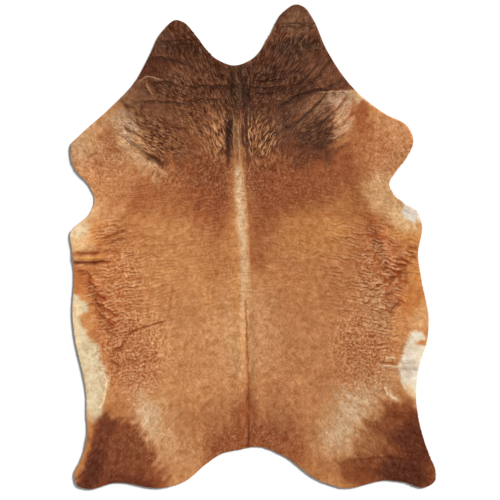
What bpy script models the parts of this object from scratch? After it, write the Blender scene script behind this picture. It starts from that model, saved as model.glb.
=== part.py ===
"""Cowhide rug: one whole tanned hide, laid flat with the hair side up.

Metres, +Z up. The origin is on the floor under the middle of the hide. +Y runs
towards the neck, and +X is on the right when the hide is seen from above.
"""

import math

import bmesh
import bpy
import numpy as np
from mathutils import Vector
from mathutils.geometry import delaunay_2d_cdt

CM = 0.01
MM = 0.001

# The whole hide
HIDE_LENGTH = 2.200      # right neck flap to the hind feet
HIDE_WIDTH = 1.660       # across the legs
SHEET_THICKNESS = 0.004  # tanned skin with the hair lying flat on it

# How finely the sheet is faceted
OUTLINE_STEP = 0.015     # between points along the cut edge
CURL_REACH = 0.080       # how far in from the edge the curl dies out
CURL_ROWS = ((0.028, 0.034), (0.058, 0.044))  # inset and step of rows along the edge
FOLD_STEP = 0.028        # along a narrow fold
FIELD_STEP = 0.054       # between points in the open field
EDGE_CLEARANCE = 0.014   # no point of a fold lies nearer to the edge
POINT_CLEARANCE = 0.009  # nor to a point of another fold
ROOM_SHARE = 0.66        # a row's points keep this share of their step from others
INSET_SHARE = 0.80       # and this share of their inset from the edge
STRETCH_SAMPLES = 10     # between two landmarks, before the edge is walked evenly
WELD = 1e-6

# Landmarks along the cut edge, counter-clockwise from the left neck flap.
# Columns: name, x in cm, y in cm, curl off the floor in mm.
OUTLINE = (
    ("left flap tip", -34.5, 102.9, 4),
    ("left flap outer shoulder", -40.9, 97.9, 5),
    ("left flap outer side", -46.8, 86.6, 5),
    ("left cheek bend", -52.7, 75.7, 5),
    ("left cheek", -65.0, 62.5, 5),
    ("left fore shank", -78.6, 50.2, 6),
    ("left fore corner", -82.4, 46.1, 8),
    ("left fore end", -82.7, 42.5, 8),
    ("left fore heel", -80.4, 35.2, 8),
    ("left armpit upper", -74.1, 27.5, 5),
    ("left armpit", -71.5, 21.1, 4),
    ("left armpit lower", -74.5, 13.9, 4),
    ("left elbow upper", -79.5, 9.8, 6),
    ("left elbow corner", -82.3, 6.6, 8),
    ("left elbow", -81.8, -1.6, 8),
    ("left belly dent", -80.9, -13.4, 6),
    ("left belly bulge", -81.6, -30.7, 8),
    ("left flank upper", -80.1, -43.9, 8),
    ("left flank", -77.3, -56.1, 8),
    ("left flank inner", -75.5, -66.1, 6),
    ("left stifle upper", -75.2, -76.6, 7),
    ("left stifle", -74.8, -86.1, 8),
    ("left hind shank", -77.7, -97.0, 8),
    ("left hind heel", -80.7, -103.9, 9),
    ("left hind corner", -79.3, -108.9, 9),
    ("left hind foot", -75.4, -110.2, 9),
    ("left hind hem", -62.3, -107.5, 6),
    ("left hind toe", -40.9, -109.8, 8),
    ("left buttock", -30.5, -106.7, 7),
    ("left thigh", -20.5, -98.5, 6),
    ("left crotch", -13.6, -94.1, 5),
    ("tail stump left", -5.9, -92.4, 4),
    ("tail stump right", 2.3, -91.1, 4),
    ("right crotch", 13.2, -94.8, 5),
    ("right buttock", 30.0, -106.4, 7),
    ("right hind toe", 40.9, -109.8, 8),
    ("right hind hem", 61.4, -106.4, 6),
    ("right hind pad", 69.1, -107.4, 6),
    ("right hind foot", 77.7, -109.7, 7),
    ("right hind corner", 82.6, -106.8, 5),
    ("right hind heel", 82.9, -102.5, 4),
    ("right hind shank lower", 80.5, -96.1, 3),
    ("right hind shank", 77.7, -88.4, 3),
    ("right stifle", 74.1, -69.8, 3),
    ("right flank inner", 74.8, -57.0, 4),
    ("right flank", 79.1, -42.5, 3),
    ("right belly bulge", 79.8, -35.2, 3),
    ("right belly", 76.4, -14.8, 2),
    ("right belly dent", 74.9, -3.9, 2),
    ("right elbow", 76.6, 10.2, 3),
    ("right elbow corner", 74.5, 15.9, 3),
    ("right elbow upper", 68.2, 19.8, 3),
    ("right armpit lower", 63.6, 24.1, 2),
    ("right armpit", 61.8, 28.4, 2),
    ("right armpit upper", 64.1, 32.7, 3),
    ("right fore heel", 70.0, 40.7, 4),
    ("right fore end", 72.9, 47.9, 4),
    ("right fore corner", 70.4, 54.3, 3),
    ("right fore shank", 60.0, 60.2, 2),
    ("right cheek", 46.4, 71.1, 2),
    ("right flap outer side", 33.6, 89.3, 2),
    ("right flap side", 26.8, 104.3, 3),
    ("right flap outer shoulder", 23.6, 108.6, 3),
    ("right flap tip", 20.0, 110.0, 3),
    ("right flap inner shoulder", 14.1, 106.8, 4),
    ("right flap inner side", 7.7, 95.7, 4),
    ("neck notch right", 0.0, 85.4, 3),
    ("neck notch", -8.2, 82.2, 3),
    ("neck notch left", -16.8, 85.4, 3),
    ("left flap inner side", -26.4, 96.6, 3),
    ("left flap inner shoulder", -30.9, 101.6, 4),
)

# Ridges where the hide doesn't lie quite flat. The crease down the croup is the
# valley between its two swells.
# Columns: name, start x, start y, end x, end y in cm, bow to the left of the
# run in cm, half width in cm, height in mm.
FOLDS = (
    ("neck ridge", -8.0, 84.0, -5.5, 33.0, 0.0, 5.0, 8),
    ("left neck swell", -24.0, 92.0, -19.0, 42.0, -1.5, 7.0, 5),
    ("right neck swell", 12.0, 98.0, 5.0, 44.0, 1.5, 6.5, 5),
    ("right cheek fold", 49.0, 71.0, 18.5, 70.0, 0.8, 2.4, 7),
    ("right shoulder fold", 32.0, 69.0, 16.0, 54.0, -2.0, 2.2, 5),
    ("right shoulder lower fold", 42.0, 68.0, 28.0, 53.0, -1.5, 2.2, 5),
    ("left cheek fold", -58.0, 64.5, -27.0, 65.5, -0.5, 2.4, 4),
    ("left shoulder fold", -58.0, 50.0, -41.0, 37.0, 0.8, 2.4, 5),
    ("left elbow pinch", -86.0, -5.8, -62.0, -4.0, 0.0, 1.6, 9),
    ("left belly fold", -75.0, -9.0, -61.0, -42.0, -1.5, 2.6, 6),
    ("left flank fold", -64.0, -49.0, -36.0, -32.0, 1.5, 2.6, 5),
    ("right elbow fold", 52.0, 14.0, 66.0, -20.0, 1.0, 3.0, 6),
    ("right belly fold", 68.0, -20.0, 58.0, -40.0, 1.0, 2.6, 5),
    ("right flank ripple", 56.0, -51.5, 80.0, -51.0, 0.3, 1.5, 6),
    ("right flank lower ripple", 62.0, -55.0, 79.0, -54.8, 0.3, 1.4, 5),
    ("right hock fold", 52.0, -75.0, 84.0, -76.5, 0.8, 2.6, 6),
    ("left hock fold", -84.0, -93.0, -54.0, -83.0, 1.0, 2.6, 5),
    ("croup left swell", -6.4, -20.0, -5.8, -95.0, 0.0, 4.0, 6),
    ("croup right swell", 1.6, -20.0, 2.2, -95.0, 0.0, 4.0, 6),
)
FOLD_TAPER = 0.25      # share of a fold's length over which each end dies out
FOLD_END_WIDTH = 0.35  # share of its width that a fold keeps at its ends
FOLD_SAMPLES = 48
FOLD_ROWS = (0.0, -0.5, 0.5, -1.0, 1.0)  # rows of points across a fold, in half widths
FLAT = 0.00005         # a lift below this lies on the floor

HAIR_COLOUR = (0.42, 0.19, 0.075, 1.0)
HAIR_ROUGHNESS = 0.72


def clear_scene():
    for obj in list(bpy.data.objects):
        bpy.data.objects.remove(obj, do_unlink=True)


def fade(distance, reach):
    """1 where distance is 0, falling smoothly to 0 at reach and beyond."""
    share = np.clip(np.abs(distance) / reach, 0.0, 1.0)
    return np.cos(share * math.pi / 2) ** 2


def closed_curve(points, steps):
    """A smooth closed curve through the points, steps samples for each stretch."""
    before, after = np.roll(points, 1, axis=0), np.roll(points, -1, axis=0)
    gap_in = np.linalg.norm(points - before, axis=1)[:, None]
    gap_out = np.linalg.norm(after - points, axis=1)[:, None]
    # The tangent at a landmark favours its nearer neighbour, so short stretches stay round.
    slope_in, slope_out = (points - before) / gap_in, (after - points) / gap_out
    tangent = (slope_in * gap_out + slope_out * gap_in) / (gap_in + gap_out)
    end, tangent_end = after, np.roll(tangent, -1, axis=0)
    runs = []
    for t in np.arange(steps) / steps:
        runs.append(
            (2 * t**3 - 3 * t**2 + 1) * points
            + (t**3 - 2 * t**2 + t) * tangent * gap_out
            + (3 * t**2 - 2 * t**3) * end
            + (t**3 - t**2) * tangent_end * gap_out
        )
    return np.stack(runs, axis=1).reshape(-1, points.shape[1])


def evenly_spaced(loop, step):
    """The closed loop walked again in equal steps of about the one given."""
    ring = np.vstack([loop, loop[:1]])
    walked = np.concatenate(
        [[0.0], np.cumsum(np.linalg.norm(np.diff(ring[:, :2], axis=0), axis=1))]
    )
    count = round(walked[-1] / step)
    stops = np.arange(count) * walked[-1] / count
    columns = [np.interp(stops, walked, ring[:, k]) for k in range(ring.shape[1])]
    return np.stack(columns, axis=1)


def hide_outline():
    """Points along the cut edge: x, y and the curl there, centred and at full size."""
    marks = np.array([[x * CM, y * CM, curl * MM] for _, x, y, curl in OUTLINE])
    loop = closed_curve(marks, STRETCH_SAMPLES)
    low, high = loop[:, :2].min(axis=0), loop[:, :2].max(axis=0)
    size = np.array([HIDE_WIDTH, HIDE_LENGTH])
    loop[:, :2] = (loop[:, :2] - (low + high) / 2) * size / (high - low)
    return evenly_spaced(loop, OUTLINE_STEP)


def inside(points, loop):
    """True for each point that the closed loop surrounds."""
    found = np.zeros(len(points), bool)
    for (x1, y1), (x2, y2) in zip(loop, np.roll(loop, -1, axis=0)):
        if y1 == y2:
            continue
        crosses = (points[:, 1] < y1) != (points[:, 1] < y2)
        found ^= crosses & (
            points[:, 0] < x1 + (points[:, 1] - y1) / (y2 - y1) * (x2 - x1)
        )
    return found


def nearest(points, targets):
    """For each point, which target is nearest and how far away it is."""
    gaps = np.linalg.norm(points[:, None, :] - targets[None, :, :], axis=2)
    index = gaps.argmin(axis=1)
    return index, gaps[np.arange(len(points)), index]


def fold_line(row):
    """Samples along the middle of a fold, bowed to the left of its run."""
    _, x1, y1, x2, y2, bow, _, _ = row
    start, end = np.array([x1, y1]) * CM, np.array([x2, y2]) * CM
    run = end - start
    left = np.array([-run[1], run[0]]) / np.linalg.norm(run)
    share = np.linspace(0.0, 1.0, FOLD_SAMPLES)[:, None]
    return start + run * share + left * bow * CM * 4 * share * (1 - share)


def fold_width(row):
    """Half the width of a fold at each of its samples: widest in the middle."""
    *_, half_width, _ = row
    share = np.linspace(0.0, 1.0, FOLD_SAMPLES)
    swell = FOLD_END_WIDTH + (1 - FOLD_END_WIDTH) * np.sin(math.pi * share)
    return half_width * CM * swell


def lift(points, outline):
    """How far the underside stands off the floor at each point."""
    index, gap = nearest(points, outline[:, :2])
    height = outline[index, 2] * fade(gap, CURL_REACH)
    for row in FOLDS:
        *_, rise = row
        index, gap = nearest(points, fold_line(row))
        share = index / (FOLD_SAMPLES - 1)
        ends = 1 - fade(np.minimum(share, 1 - share), FOLD_TAPER)
        height += rise * MM * fade(gap, fold_width(row)[index]) * ends
    return np.where(height > FLAT, height, 0.0)


def fold_rows():
    """Points along the crest, flanks and feet of each fold."""
    rows = []
    for row in FOLDS:
        line = fold_line(row)
        run = np.gradient(line, axis=0)
        side = np.stack([-run[:, 1], run[:, 0]], axis=1)
        side *= (fold_width(row) / np.linalg.norm(side, axis=1))[:, None]
        walked = np.concatenate(
            [[0.0], np.cumsum(np.linalg.norm(np.diff(line, axis=0), axis=1))]
        )
        step = max(FOLD_STEP, fold_width(row).max())
        stops = np.linspace(0.0, walked[-1], max(3, round(walked[-1] / step)))
        for share in FOLD_ROWS:
            shifted = line + side * share
            columns = [np.interp(stops, walked, shifted[:, k]) for k in (0, 1)]
            rows.append(np.stack(columns, axis=1))
    return np.vstack(rows)


def curl_row(outline, inset, step):
    """A row of points inside the edge, where the curl bends."""
    coarse = evenly_spaced(outline, step)[:, :2]
    run = np.roll(coarse, -1, axis=0) - np.roll(coarse, 1, axis=0)
    inward = np.stack([-run[:, 1], run[:, 0]], axis=1)
    return coarse + inward / np.linalg.norm(inward, axis=1)[:, None] * inset


def field():
    """A staggered grid over the whole box of the hide."""
    row_step = FIELD_STEP * math.sqrt(3) / 2
    points = []
    for j in range(math.ceil(HIDE_LENGTH / row_step) + 1):
        shift = FIELD_STEP / 2 * (j % 2)
        for i in range(math.ceil(HIDE_WIDTH / FIELD_STEP) + 1):
            x = i * FIELD_STEP + shift - HIDE_WIDTH / 2
            points.append((x, j * row_step - HIDE_LENGTH / 2))
    return np.array(points)


def inner_points(outline):
    """All points inside the edge. A later set leaves room round an earlier one."""
    loop = outline[:, :2]
    kept = np.empty((0, 2))
    sets = [(fold_rows(), POINT_CLEARANCE, EDGE_CLEARANCE)]
    for inset, step in CURL_ROWS:
        row = curl_row(outline, inset, step)
        sets.append((row, ROOM_SHARE * step, INSET_SHARE * inset))
    sets.append((field(), ROOM_SHARE * FIELD_STEP, CURL_ROWS[-1][0]))
    for points, room, clearance in sets:
        points = points[inside(points, loop)]
        points = points[nearest(points, loop)[1] > clearance]
        for point in points:
            if not len(kept) or np.linalg.norm(kept - point, axis=1).min() > room:
                kept = np.vstack([kept, point])
    return kept


def hide_material():
    material = bpy.data.materials.new("hide hair")
    material.use_nodes = True
    shader = material.node_tree.nodes["Principled BSDF"]
    shader.inputs["Base Color"].default_value = HAIR_COLOUR
    shader.inputs["Roughness"].default_value = HAIR_ROUGHNESS
    material.diffuse_color = HAIR_COLOUR
    return material


def make_hide():
    """The underside as a faceted sheet, and a Solidify that grows it upwards."""
    outline = hide_outline()
    edge = outline[:, :2]
    points = np.vstack([edge, inner_points(outline)])
    boundary = list(range(len(edge)))
    corners, _, faces, _, _, _ = delaunay_2d_cdt(
        [Vector(point) for point in points], [], [boundary], 0, WELD, False
    )
    flat = np.array([[corner.x, corner.y] for corner in corners])
    heights = lift(flat, outline)

    # The triangulation also fills the bays of the outline, so those faces stay out.
    centres = np.array([flat[face].mean(axis=0) for face in faces])
    on_hide = inside(centres, edge)

    sheet = bmesh.new()
    verts = [sheet.verts.new((x, y, z)) for (x, y), z in zip(flat, heights)]
    for face, kept in zip(faces, on_hide):
        if kept:
            sheet.faces.new([verts[i] for i in face])
    sheet.normal_update()
    bmesh.ops.reverse_faces(sheet, faces=[f for f in sheet.faces if f.normal.z < 0])
    mesh = bpy.data.meshes.new("hide")
    sheet.to_mesh(mesh)
    sheet.free()
    mesh.shade_smooth()
    mesh.materials.append(hide_material())

    hide = bpy.data.objects.new("hide", mesh)
    bpy.context.scene.collection.objects.link(hide)
    body = hide.modifiers.new("sheet thickness", "SOLIDIFY")
    body.thickness = SHEET_THICKNESS
    body.offset = 1.0
    return hide


clear_scene()
make_hide()
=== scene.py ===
import math

import bmesh
import bpy
import numpy as np
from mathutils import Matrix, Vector
from mathutils.bvhtree import BVHTree
from mathutils.geometry import delaunay_2d_cdt


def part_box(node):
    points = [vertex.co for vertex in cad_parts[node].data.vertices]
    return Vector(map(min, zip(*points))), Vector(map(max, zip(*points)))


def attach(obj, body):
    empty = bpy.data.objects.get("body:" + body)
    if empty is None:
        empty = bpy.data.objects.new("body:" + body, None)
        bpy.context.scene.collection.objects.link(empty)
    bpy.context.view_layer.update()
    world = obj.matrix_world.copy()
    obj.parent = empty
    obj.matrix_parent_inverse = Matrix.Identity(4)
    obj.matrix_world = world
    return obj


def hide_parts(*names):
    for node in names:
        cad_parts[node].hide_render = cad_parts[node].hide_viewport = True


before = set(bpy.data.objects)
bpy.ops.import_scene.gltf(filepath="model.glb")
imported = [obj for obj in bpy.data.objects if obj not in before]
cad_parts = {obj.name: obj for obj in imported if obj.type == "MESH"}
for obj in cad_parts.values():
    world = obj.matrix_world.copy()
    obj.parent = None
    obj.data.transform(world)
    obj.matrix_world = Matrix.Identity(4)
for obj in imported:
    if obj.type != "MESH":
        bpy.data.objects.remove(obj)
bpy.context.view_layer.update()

# everything that varies over the hide is worked out on one fine grid seen from above
fieldGrid = {
    "cell": 0.003,
    "margin": 0.03,
    "seed": 11,
}
cm = 0.01  # the tables of marks are in centimetres, and heights in millimetres
mm = 0.001

# hair colours as 0-255 screen values, chosen near mean colours measured at places in the photo
hairColours = {
    "black": (44, 27, 20),
    "darkUmber": (66, 35, 24),
    "umber": (88, 46, 29),
    "neckBrown": (112, 62, 39),
    "greyBrown": (108, 72, 56),
    "flapTan": (126, 80, 56),
    "ash": (136, 96, 72),
    "paleAsh": (190, 148, 114),
    "haze": (200, 165, 135),
    "rust": (158, 88, 48),
    "flankRed": (176, 94, 48),
    "flankRust": (144, 67, 29),
    "edgeGold": (214, 133, 70),
    "rustBrown": (142, 75, 41),
    "chestnut": (120, 58, 31),
    # the red of the painted shade in creases, also a plain red tone in some patches
    "creaseRed": (114, 46, 18),
    "strandGold": (194, 142, 98),
    "hockBrown": (134, 73, 42),
    "darkChestnut": (93, 43, 27),
    "deepChestnut": (76, 34, 22),
    "brown": (160, 101, 62),
    "caramel": (192, 131, 80),
    "redCaramel": (178, 112, 68),
    "lowCaramel": (190, 134, 90),
    "golden": (206, 142, 82),
    "brightGold": (226, 158, 84),
    "legTan": (197, 138, 92),
    "straw": (214, 168, 122),
    "rumpStraw": (204, 163, 121),
    "paleRump": (206, 176, 142),
    "thigh": (184, 132, 90),
    "creamStraw": (226, 184, 134),
    "cream": (224, 206, 178),
    "bellyCream": (211, 193, 160),
    "paleCream": (240, 226, 202),
    "whitish": (234, 223, 211),
}

# patches of colour, laid over each other in this order: name, colour, strength,
# width of the soft edge and reach of its hair tips in cm, and a round outline in cm
coatPatches = [
    ("left side warmth", "golden", 0.25, 14, 1, [(-84, 30), (-50, 30), (-45, -40), (-70, -60), (-84, -20)]),
    ("right half", "redCaramel", 0.55, 14, 1,
        [(0, 40), (60, 40), (78, 0), (78, -60), (40, -80), (2, -80), (2, -20)]),
    ("lower middle left", "lowCaramel", 0.6, 12, 1, [(-60, -25), (-5, -25), (-5, -75), (-60, -62)]),
    ("lower middle right", "lowCaramel", 0.45, 12, 1, [(2, -25), (55, -30), (45, -78), (2, -70)]),
    ("shoulder rust left", "rust", 0.85, 12, 2, [(-52, 50), (-8, 50), (-7, 18), (-26, 12), (-52, 20)]),
    ("shoulder rust right", "rustBrown", 0.85, 12, 2,
        [(0, 55), (30, 52), (56, 44), (56, 24), (36, 12), (2, 6)]),
    ("rust by spine left", "rustBrown", 0.95, 9, 2, [(-36, 46), (-10, 44), (-9, 10), (-14, 8), (-28, 18)]),
    ("left elbow rust", "rust", 0.35, 4, 1, [(-70, 8), (-50, 12), (-48, 0), (-66, -2)]),
    ("left shoulder rust low", "rust", 0.85, 5, 2, [(-62, 30), (-48, 32), (-46, 16), (-60, 14)]),
    ("rust by spine right", "rustBrown", 0.85, 7, 2, [(-3, 50), (20, 48), (14, 22), (4, -4), (0, -12)]),
    ("rust beside stripe", "rustBrown", 0.5, 5, 2, [(-30, 42), (-13, 42), (-12, 18), (-26, 22)]),
    ("rust under neck", "chestnut", 0.75, 5, 2,
        [(-28, 40), (-12, 41), (0, 42), (10, 38), (6, 24), (-2, 24), (-12, 14), (-24, 18)]),
    ("left foreleg tan", "legTan", 0.9, 8, 2,
        [(-86, 64), (-70, 70), (-57, 58), (-52, 34), (-62, 12), (-84, 10)]),
    ("right foreleg tan", "legTan", 0.9, 7, 2,
        [(50, 58), (64, 66), (80, 50), (78, 12), (66, 8), (56, 22), (50, 40)]),
    ("left leg gold", "brightGold", 0.45, 5, 1, [(-80, 60), (-62, 62), (-60, 44), (-78, 42)]),
    ("withers red", "creaseRed", 0.4, 5, 1, [(-26, 38), (-12, 38), (-11, 17), (-26, 17)]),
    ("right withers red", "creaseRed", 0.36, 5, 1, [(-2, 38), (30, 40), (32, 17), (4, 18)]),
    ("left mark halo", "flankRust", 0.22, 2.5, 1,
        [(-79, -9), (-73, -9), (-66, -20), (-57, -37), (-63, -42), (-70, -33), (-74, -22)]),
    ("left edge red", "flankRed", 0.35, 3, 1, [(-84, -8), (-75, -8), (-74, -18), (-84, -18)]),
    ("left side gold", "golden", 0.3, 5, 1, [(-72, 4), (-60, 4), (-58, -28), (-68, -26)]),
    ("left flank chestnut", "flankRed", 0.40, 8, 1,
        [(-76, 8), (-62, 6), (-52, -20), (-50, -42), (-62, -48), (-72, -20)]),
    ("right flank chestnut", "flankRed", 0.30, 8, 1,
        [(74, 4), (56, 4), (50, -22), (56, -50), (68, -52), (76, -20)]),
    ("right shoulder red", "rustBrown", 0.45, 6, 1,
        [(4, 32), (40, 34), (54, 24), (48, 6), (34, 10), (8, 18)]),
    ("left of spine shade", "rust", 0.38, 6, 1, [(-28, 26), (-13, 28), (-12, -16), (-24, -14)]),
    ("right ribs light", "golden", 0.75, 8, 1, [(13, 18), (46, 22), (46, -2), (14, -4)]),
    ("right elbow gold", "golden", 0.35, 4, 1, [(38, 30), (54, 30), (62, 16), (60, 9), (40, 16)]),
    ("right flank red", "flankRed", 0.35, 6, 1, [(50, 16), (64, 10), (66, -20), (50, -22), (46, 0)]),
    ("loin pale", "rumpStraw", 0.35, 8, 1, [(-16, -14), (12, -16), (12, -58), (-14, -60)]),
    ("left stifle red", "rust", 0.4, 6, 1, [(-62, -40), (-44, -42), (-42, -68), (-56, -66)]),
    ("left croup brown", "brown", 0.5, 4, 1, [(-38, -72), (-28, -70), (-26, -88), (-36, -88)]),
    ("right stifle rust", "rust", 0.4, 4, 1, [(38, -40), (54, -46), (52, -60), (40, -62)]),
    ("right flank pale", "rumpStraw", 0.65, 7, 1, [(50, -14), (64, -18), (68, -42), (52, -40)]),
    ("right edge gold", "edgeGold", 0.85, 4, 1,
        [(68, 6), (84, 8), (84, -42), (69, -44), (66, -30), (69, -14)]),
    ("right leg pale", "creamStraw", 0.75, 4, 1, [(47, 30), (66, 36), (70, 20), (54, 14)]),
    ("right edge glow", "golden", 0.6, 4, 1, [(67, 4), (84, 4), (84, -24), (70, -24)]),
    ("right belly glow", "straw", 0.45, 2.5, 1, [(63, -30), (76, -31), (76, -38), (68, -45), (64, -50)]),
    ("right stifle glow", "straw", 0.5, 3, 1.5, [(57, -48), (66, -47), (66, -66), (62, -70), (55, -64)]),
    ("left leg tip", "straw", 0.7, 4, 1.5, [(-86, 54), (-77, 56), (-74, 44), (-80, 38), (-86, 40)]),
    ("left leg haze", "haze", 0.4, 6, 1.5,
        [(-86, 60), (-68, 64), (-54, 62), (-52, 46), (-66, 38), (-86, 38)]),
    ("left elbow top", "haze", 0.6, 2.5, 1, [(-86, 20), (-76, 18), (-74, 9), (-86, 7)]),
    ("croup brown left", "brown", 0.8, 8, 1, [(-26, -70), (-6, -66), (-5, -94), (-18, -96), (-28, -86)]),
    ("croup brown right", "brown", 0.85, 8, 1, [(0, -66), (18, -70), (28, -86), (16, -98), (0, -94)]),
    ("thigh left", "thigh", 0.8, 8, 1, [(-46, -84), (-28, -84), (-22, -100), (-40, -108)]),
    ("thigh right", "lowCaramel", 0.5, 8, 1, [(46, -84), (26, -84), (24, -100), (44, -108)]),
    ("rump straw left", "rumpStraw", 0.82, 9, 2,
        [(-60, -62), (-50, -60), (-39, -70), (-36, -84), (-41, -95), (-47, -90), (-56, -76)]),
    ("rump pale left", "paleRump", 0.7, 4, 1.5,
        [(-50, -66), (-43, -72), (-41, -84), (-46, -86), (-52, -76)]),
    ("rump straw right", "paleRump", 0.95, 9, 2,
        [(54, -60), (40, -66), (32, -80), (32, -92), (40, -92), (48, -80), (58, -66)]),
    ("spine stripe edge", "golden", 0.6, 2.4, 0.4,
        [(-11.4, 42), (-5, 42), (-4, 26), (-2.4, 8), (-0.6, -30), (-1, -48), (-9, -48), (-9.6, -12),
         (-11, 20)]),
    ("stripe spread", "straw", 0.25, 3, 0.6, [(-12, -28), (0.4, -28), (1, -54), (-4, -60), (-11, -54)]),
    ("spine stripe", "straw", 1.0, 1.3, 0.4,
        [(-9, 44), (-4.4, 44), (-3.7, 30), (-3, 20), (-2.3, 6), (-1.9, -8), (-1.6, -26), (-2.4, -42),
         (-5, -42), (-6, -26), (-6.4, 0), (-7.8, 18), (-8.8, 30)]),
    ("spine stripe core", "cream", 0.45, 1.0, 0.3,
        [(-8, 38), (-5.4, 38), (-4.6, 24), (-3.6, 8), (-3.2, -16), (-4.4, -16), (-5.6, 8), (-7.4, 24)]),
    ("cape", "umber", 1.0, 4.5, 1.8,
        [(-58, 76), (-50, 88), (-46, 102), (-39, 116), (-24, 112), (-17, 92), (-8, 90), (2, 91), (7, 99),
         (12, 115), (32, 114), (38, 94), (45, 81), (50, 71), (40, 70), (28, 68), (22, 60), (17, 50),
         (4, 42), (-14, 44), (-22, 54), (-30, 62), (-42, 66), (-52, 68)]),
    ("cape dark heart", "darkUmber", 0.7, 6, 3,
        [(-20, 84), (-6, 84), (8, 88), (24, 86), (30, 76), (24, 70), (10, 66), (-4, 60), (-14, 66)]),
    ("left flap tan", "flapTan", 0.8, 2.8, 1.5,
        [(-38, 86), (-28, 86), (-22, 80), (-24, 74), (-36, 71), (-41, 78)]),
    ("neck left dark", "darkUmber", 0.4, 4, 2, [(-27, 92), (-16, 86), (-12, 68), (-18, 62), (-26, 74)]),
    ("left flap grey", "greyBrown", 0.7, 2.5, 1, [(-46, 98), (-37, 99), (-37, 90), (-47, 89)]),
    ("left flap dark", "black", 0.3, 2.2, 1, [(-44, 92), (-26, 92), (-22, 87), (-42, 86.6)]),
    ("left flap low dark", "darkUmber", 0.5, 2, 1, [(-50, 76), (-42, 77), (-36, 73), (-40, 70), (-50, 71)]),
    ("right flap tip", "ash", 0.7, 2.5, 1, [(14, 108), (25, 109), (29, 98), (21, 95.6), (13, 100)]),
    ("right flap dark", "black", 0.6, 2.2, 1,
        [(8, 92), (12, 95), (25, 95.6), (32, 93), (29, 88.6), (12, 84)]),
    ("right flap tan", "flapTan", 0.75, 2.6, 1.5,
        [(20, 86), (28, 86.6), (34, 86.6), (40, 80), (44, 72.6), (35, 73), (27, 77), (20, 81)]),
    ("cape lower left", "neckBrown", 0.9, 5, 3,
        [(-52, 74), (-34, 70), (-20, 66), (-12, 46), (-24, 38), (-42, 42), (-52, 52), (-56, 64)]),
    ("cape lower right", "umber", 0.85, 5, 3, [(6, 62), (24, 64), (40, 52), (39, 43), (28, 39.6), (8, 41)]),
    ("right shoulder brown", "greyBrown", 0.85, 4, 2,
        [(12, 66), (42, 70), (38, 60), (30, 50), (16, 48), (10, 56)]),
    ("nape dark", "black", 0.5, 2.2, 1.2,
        [(-11.4, 83), (-2.3, 83), (-1.4, 67), (-4, 61), (-7.7, 64.8), (-10.8, 68.4)]),
    ("cheek pale", "ash", 0.75, 2, 1.5, [(24, 68.4), (37, 69), (41, 62), (35, 60), (27, 62)]),
    ("left leg top", "ash", 0.7, 4, 1, [(-62, 76), (-50, 76), (-52, 64), (-62, 64)]),
    ("cheek light", "paleAsh", 0.5, 1.2, 0.8,
        [(30, 69.8), (36, 70.4), (48, 70.4), (49, 66.6), (38, 66), (31, 67)]),
    ("left ash", "ash", 0.45, 5, 3, [(-52, 72), (-38, 72), (-32, 60), (-42, 52), (-54, 56)]),
    ("left straw band", "straw", 0.82, 2.6, 2,
        [(-66, 60), (-60, 62), (-56, 56), (-48, 45), (-41, 38), (-38, 33), (-45, 31.4), (-53, 35),
         (-59, 45), (-64, 53)]),
    ("left haze", "haze", 0.75, 2, 1.2, [(-65, 63), (-57, 63), (-52, 58), (-55, 51), (-58, 47), (-62, 53)]),
    ("left neck brown", "brown", 0.35, 4, 2, [(-40, 52), (-28, 54), (-25, 42), (-36, 40)]),
    ("left shoulder blotch", "umber", 0.7, 2, 2, [(-60, 66), (-50, 66), (-49, 61), (-58, 61)]),
    ("right pale patch", "haze", 0.6, 2.0, 1.6,
        [(37, 69), (46, 69), (46, 60), (43, 51.6), (38.8, 50), (38, 60)]),
    ("left crease shade", "umber", 0.65, 1.6, 1.5, [(-50, 45), (-46, 47), (-40, 42), (-39, 38), (-44, 39)]),
    ("right dark blob", "darkUmber", 1.0, 3, 0.5,
        [(22, 56), (31, 59), (38, 54), (36.6, 47), (30, 44), (20, 48)]),
    ("right fold glow", "creamStraw", 0.7, 1.2, 0.5, [(41, 71.6), (49, 71), (51, 67), (43, 67.2)]),
    ("neck red left", "darkChestnut", 0.45, 3, 1, [(-27, 82), (-12, 80), (-12, 68), (-20, 66), (-27, 72)]),
    ("neck dark left", "darkUmber", 0.2, 2.5, 1, [(-43, 76), (-35, 74), (-32, 64), (-38, 61), (-42, 67)]),
    ("neck dark column", "deepChestnut", 0.45, 3, 1,
        [(4, 88), (14, 90), (20, 76), (14, 64), (6, 64), (4, 76)]),
    ("stripe head", "redCaramel", 0.65, 1.6, 0.4, [(-9, 47.6), (-4, 47.6), (-3.2, 38), (-9.6, 36)]),
    ("neck right dark", "darkUmber", 0.75, 3, 1.5, [(8, 65), (18, 66), (20, 54), (12, 51)]),
    ("right leg top pale", "haze", 0.75, 2, 1,
        [(34, 69.4), (42, 71.6), (49, 70), (52, 66), (46, 62), (38, 64.6)]),
    ("right leg rust", "rust", 1.0, 2.6, 1.5, [(44.6, 67), (50, 65.6), (55, 57), (52, 49), (44.6, 52)]),
    ("right leg top glow", "creamStraw", 0.5, 1.5, 0.5,
        [(43, 71.6), (52, 69), (55, 65.6), (49, 66.6), (43, 68.4)]),
    ("left leg rust", "rust", 0.65, 2.2, 1.5,
        [(-69.6, 55), (-66, 56), (-62.5, 48), (-63, 41), (-67, 42), (-69, 49)]),
    ("right leg low rust", "rust", 0.5, 4, 1.5, [(45, 54), (54, 57), (64, 46), (58, 38), (44, 40)]),
    ("left leg low rust", "redCaramel", 0.5, 3, 1.5,
        [(-76, 42), (-64, 40), (-56, 26), (-64, 18), (-70, 28)]),
    ("neck straw left", "brown", 0.78, 3, 2.5,
        [(-21, 64), (-14, 62), (-12, 46), (-20, 41), (-27, 44), (-26, 54)]),
    ("neck straw right", "brown", 0.45, 3, 2, [(-1, 50), (2, 58), (7, 58), (10, 42), (0, 41)]),
    ("neck light strip", "straw", 0.4, 1.0, 0.8,
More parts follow.
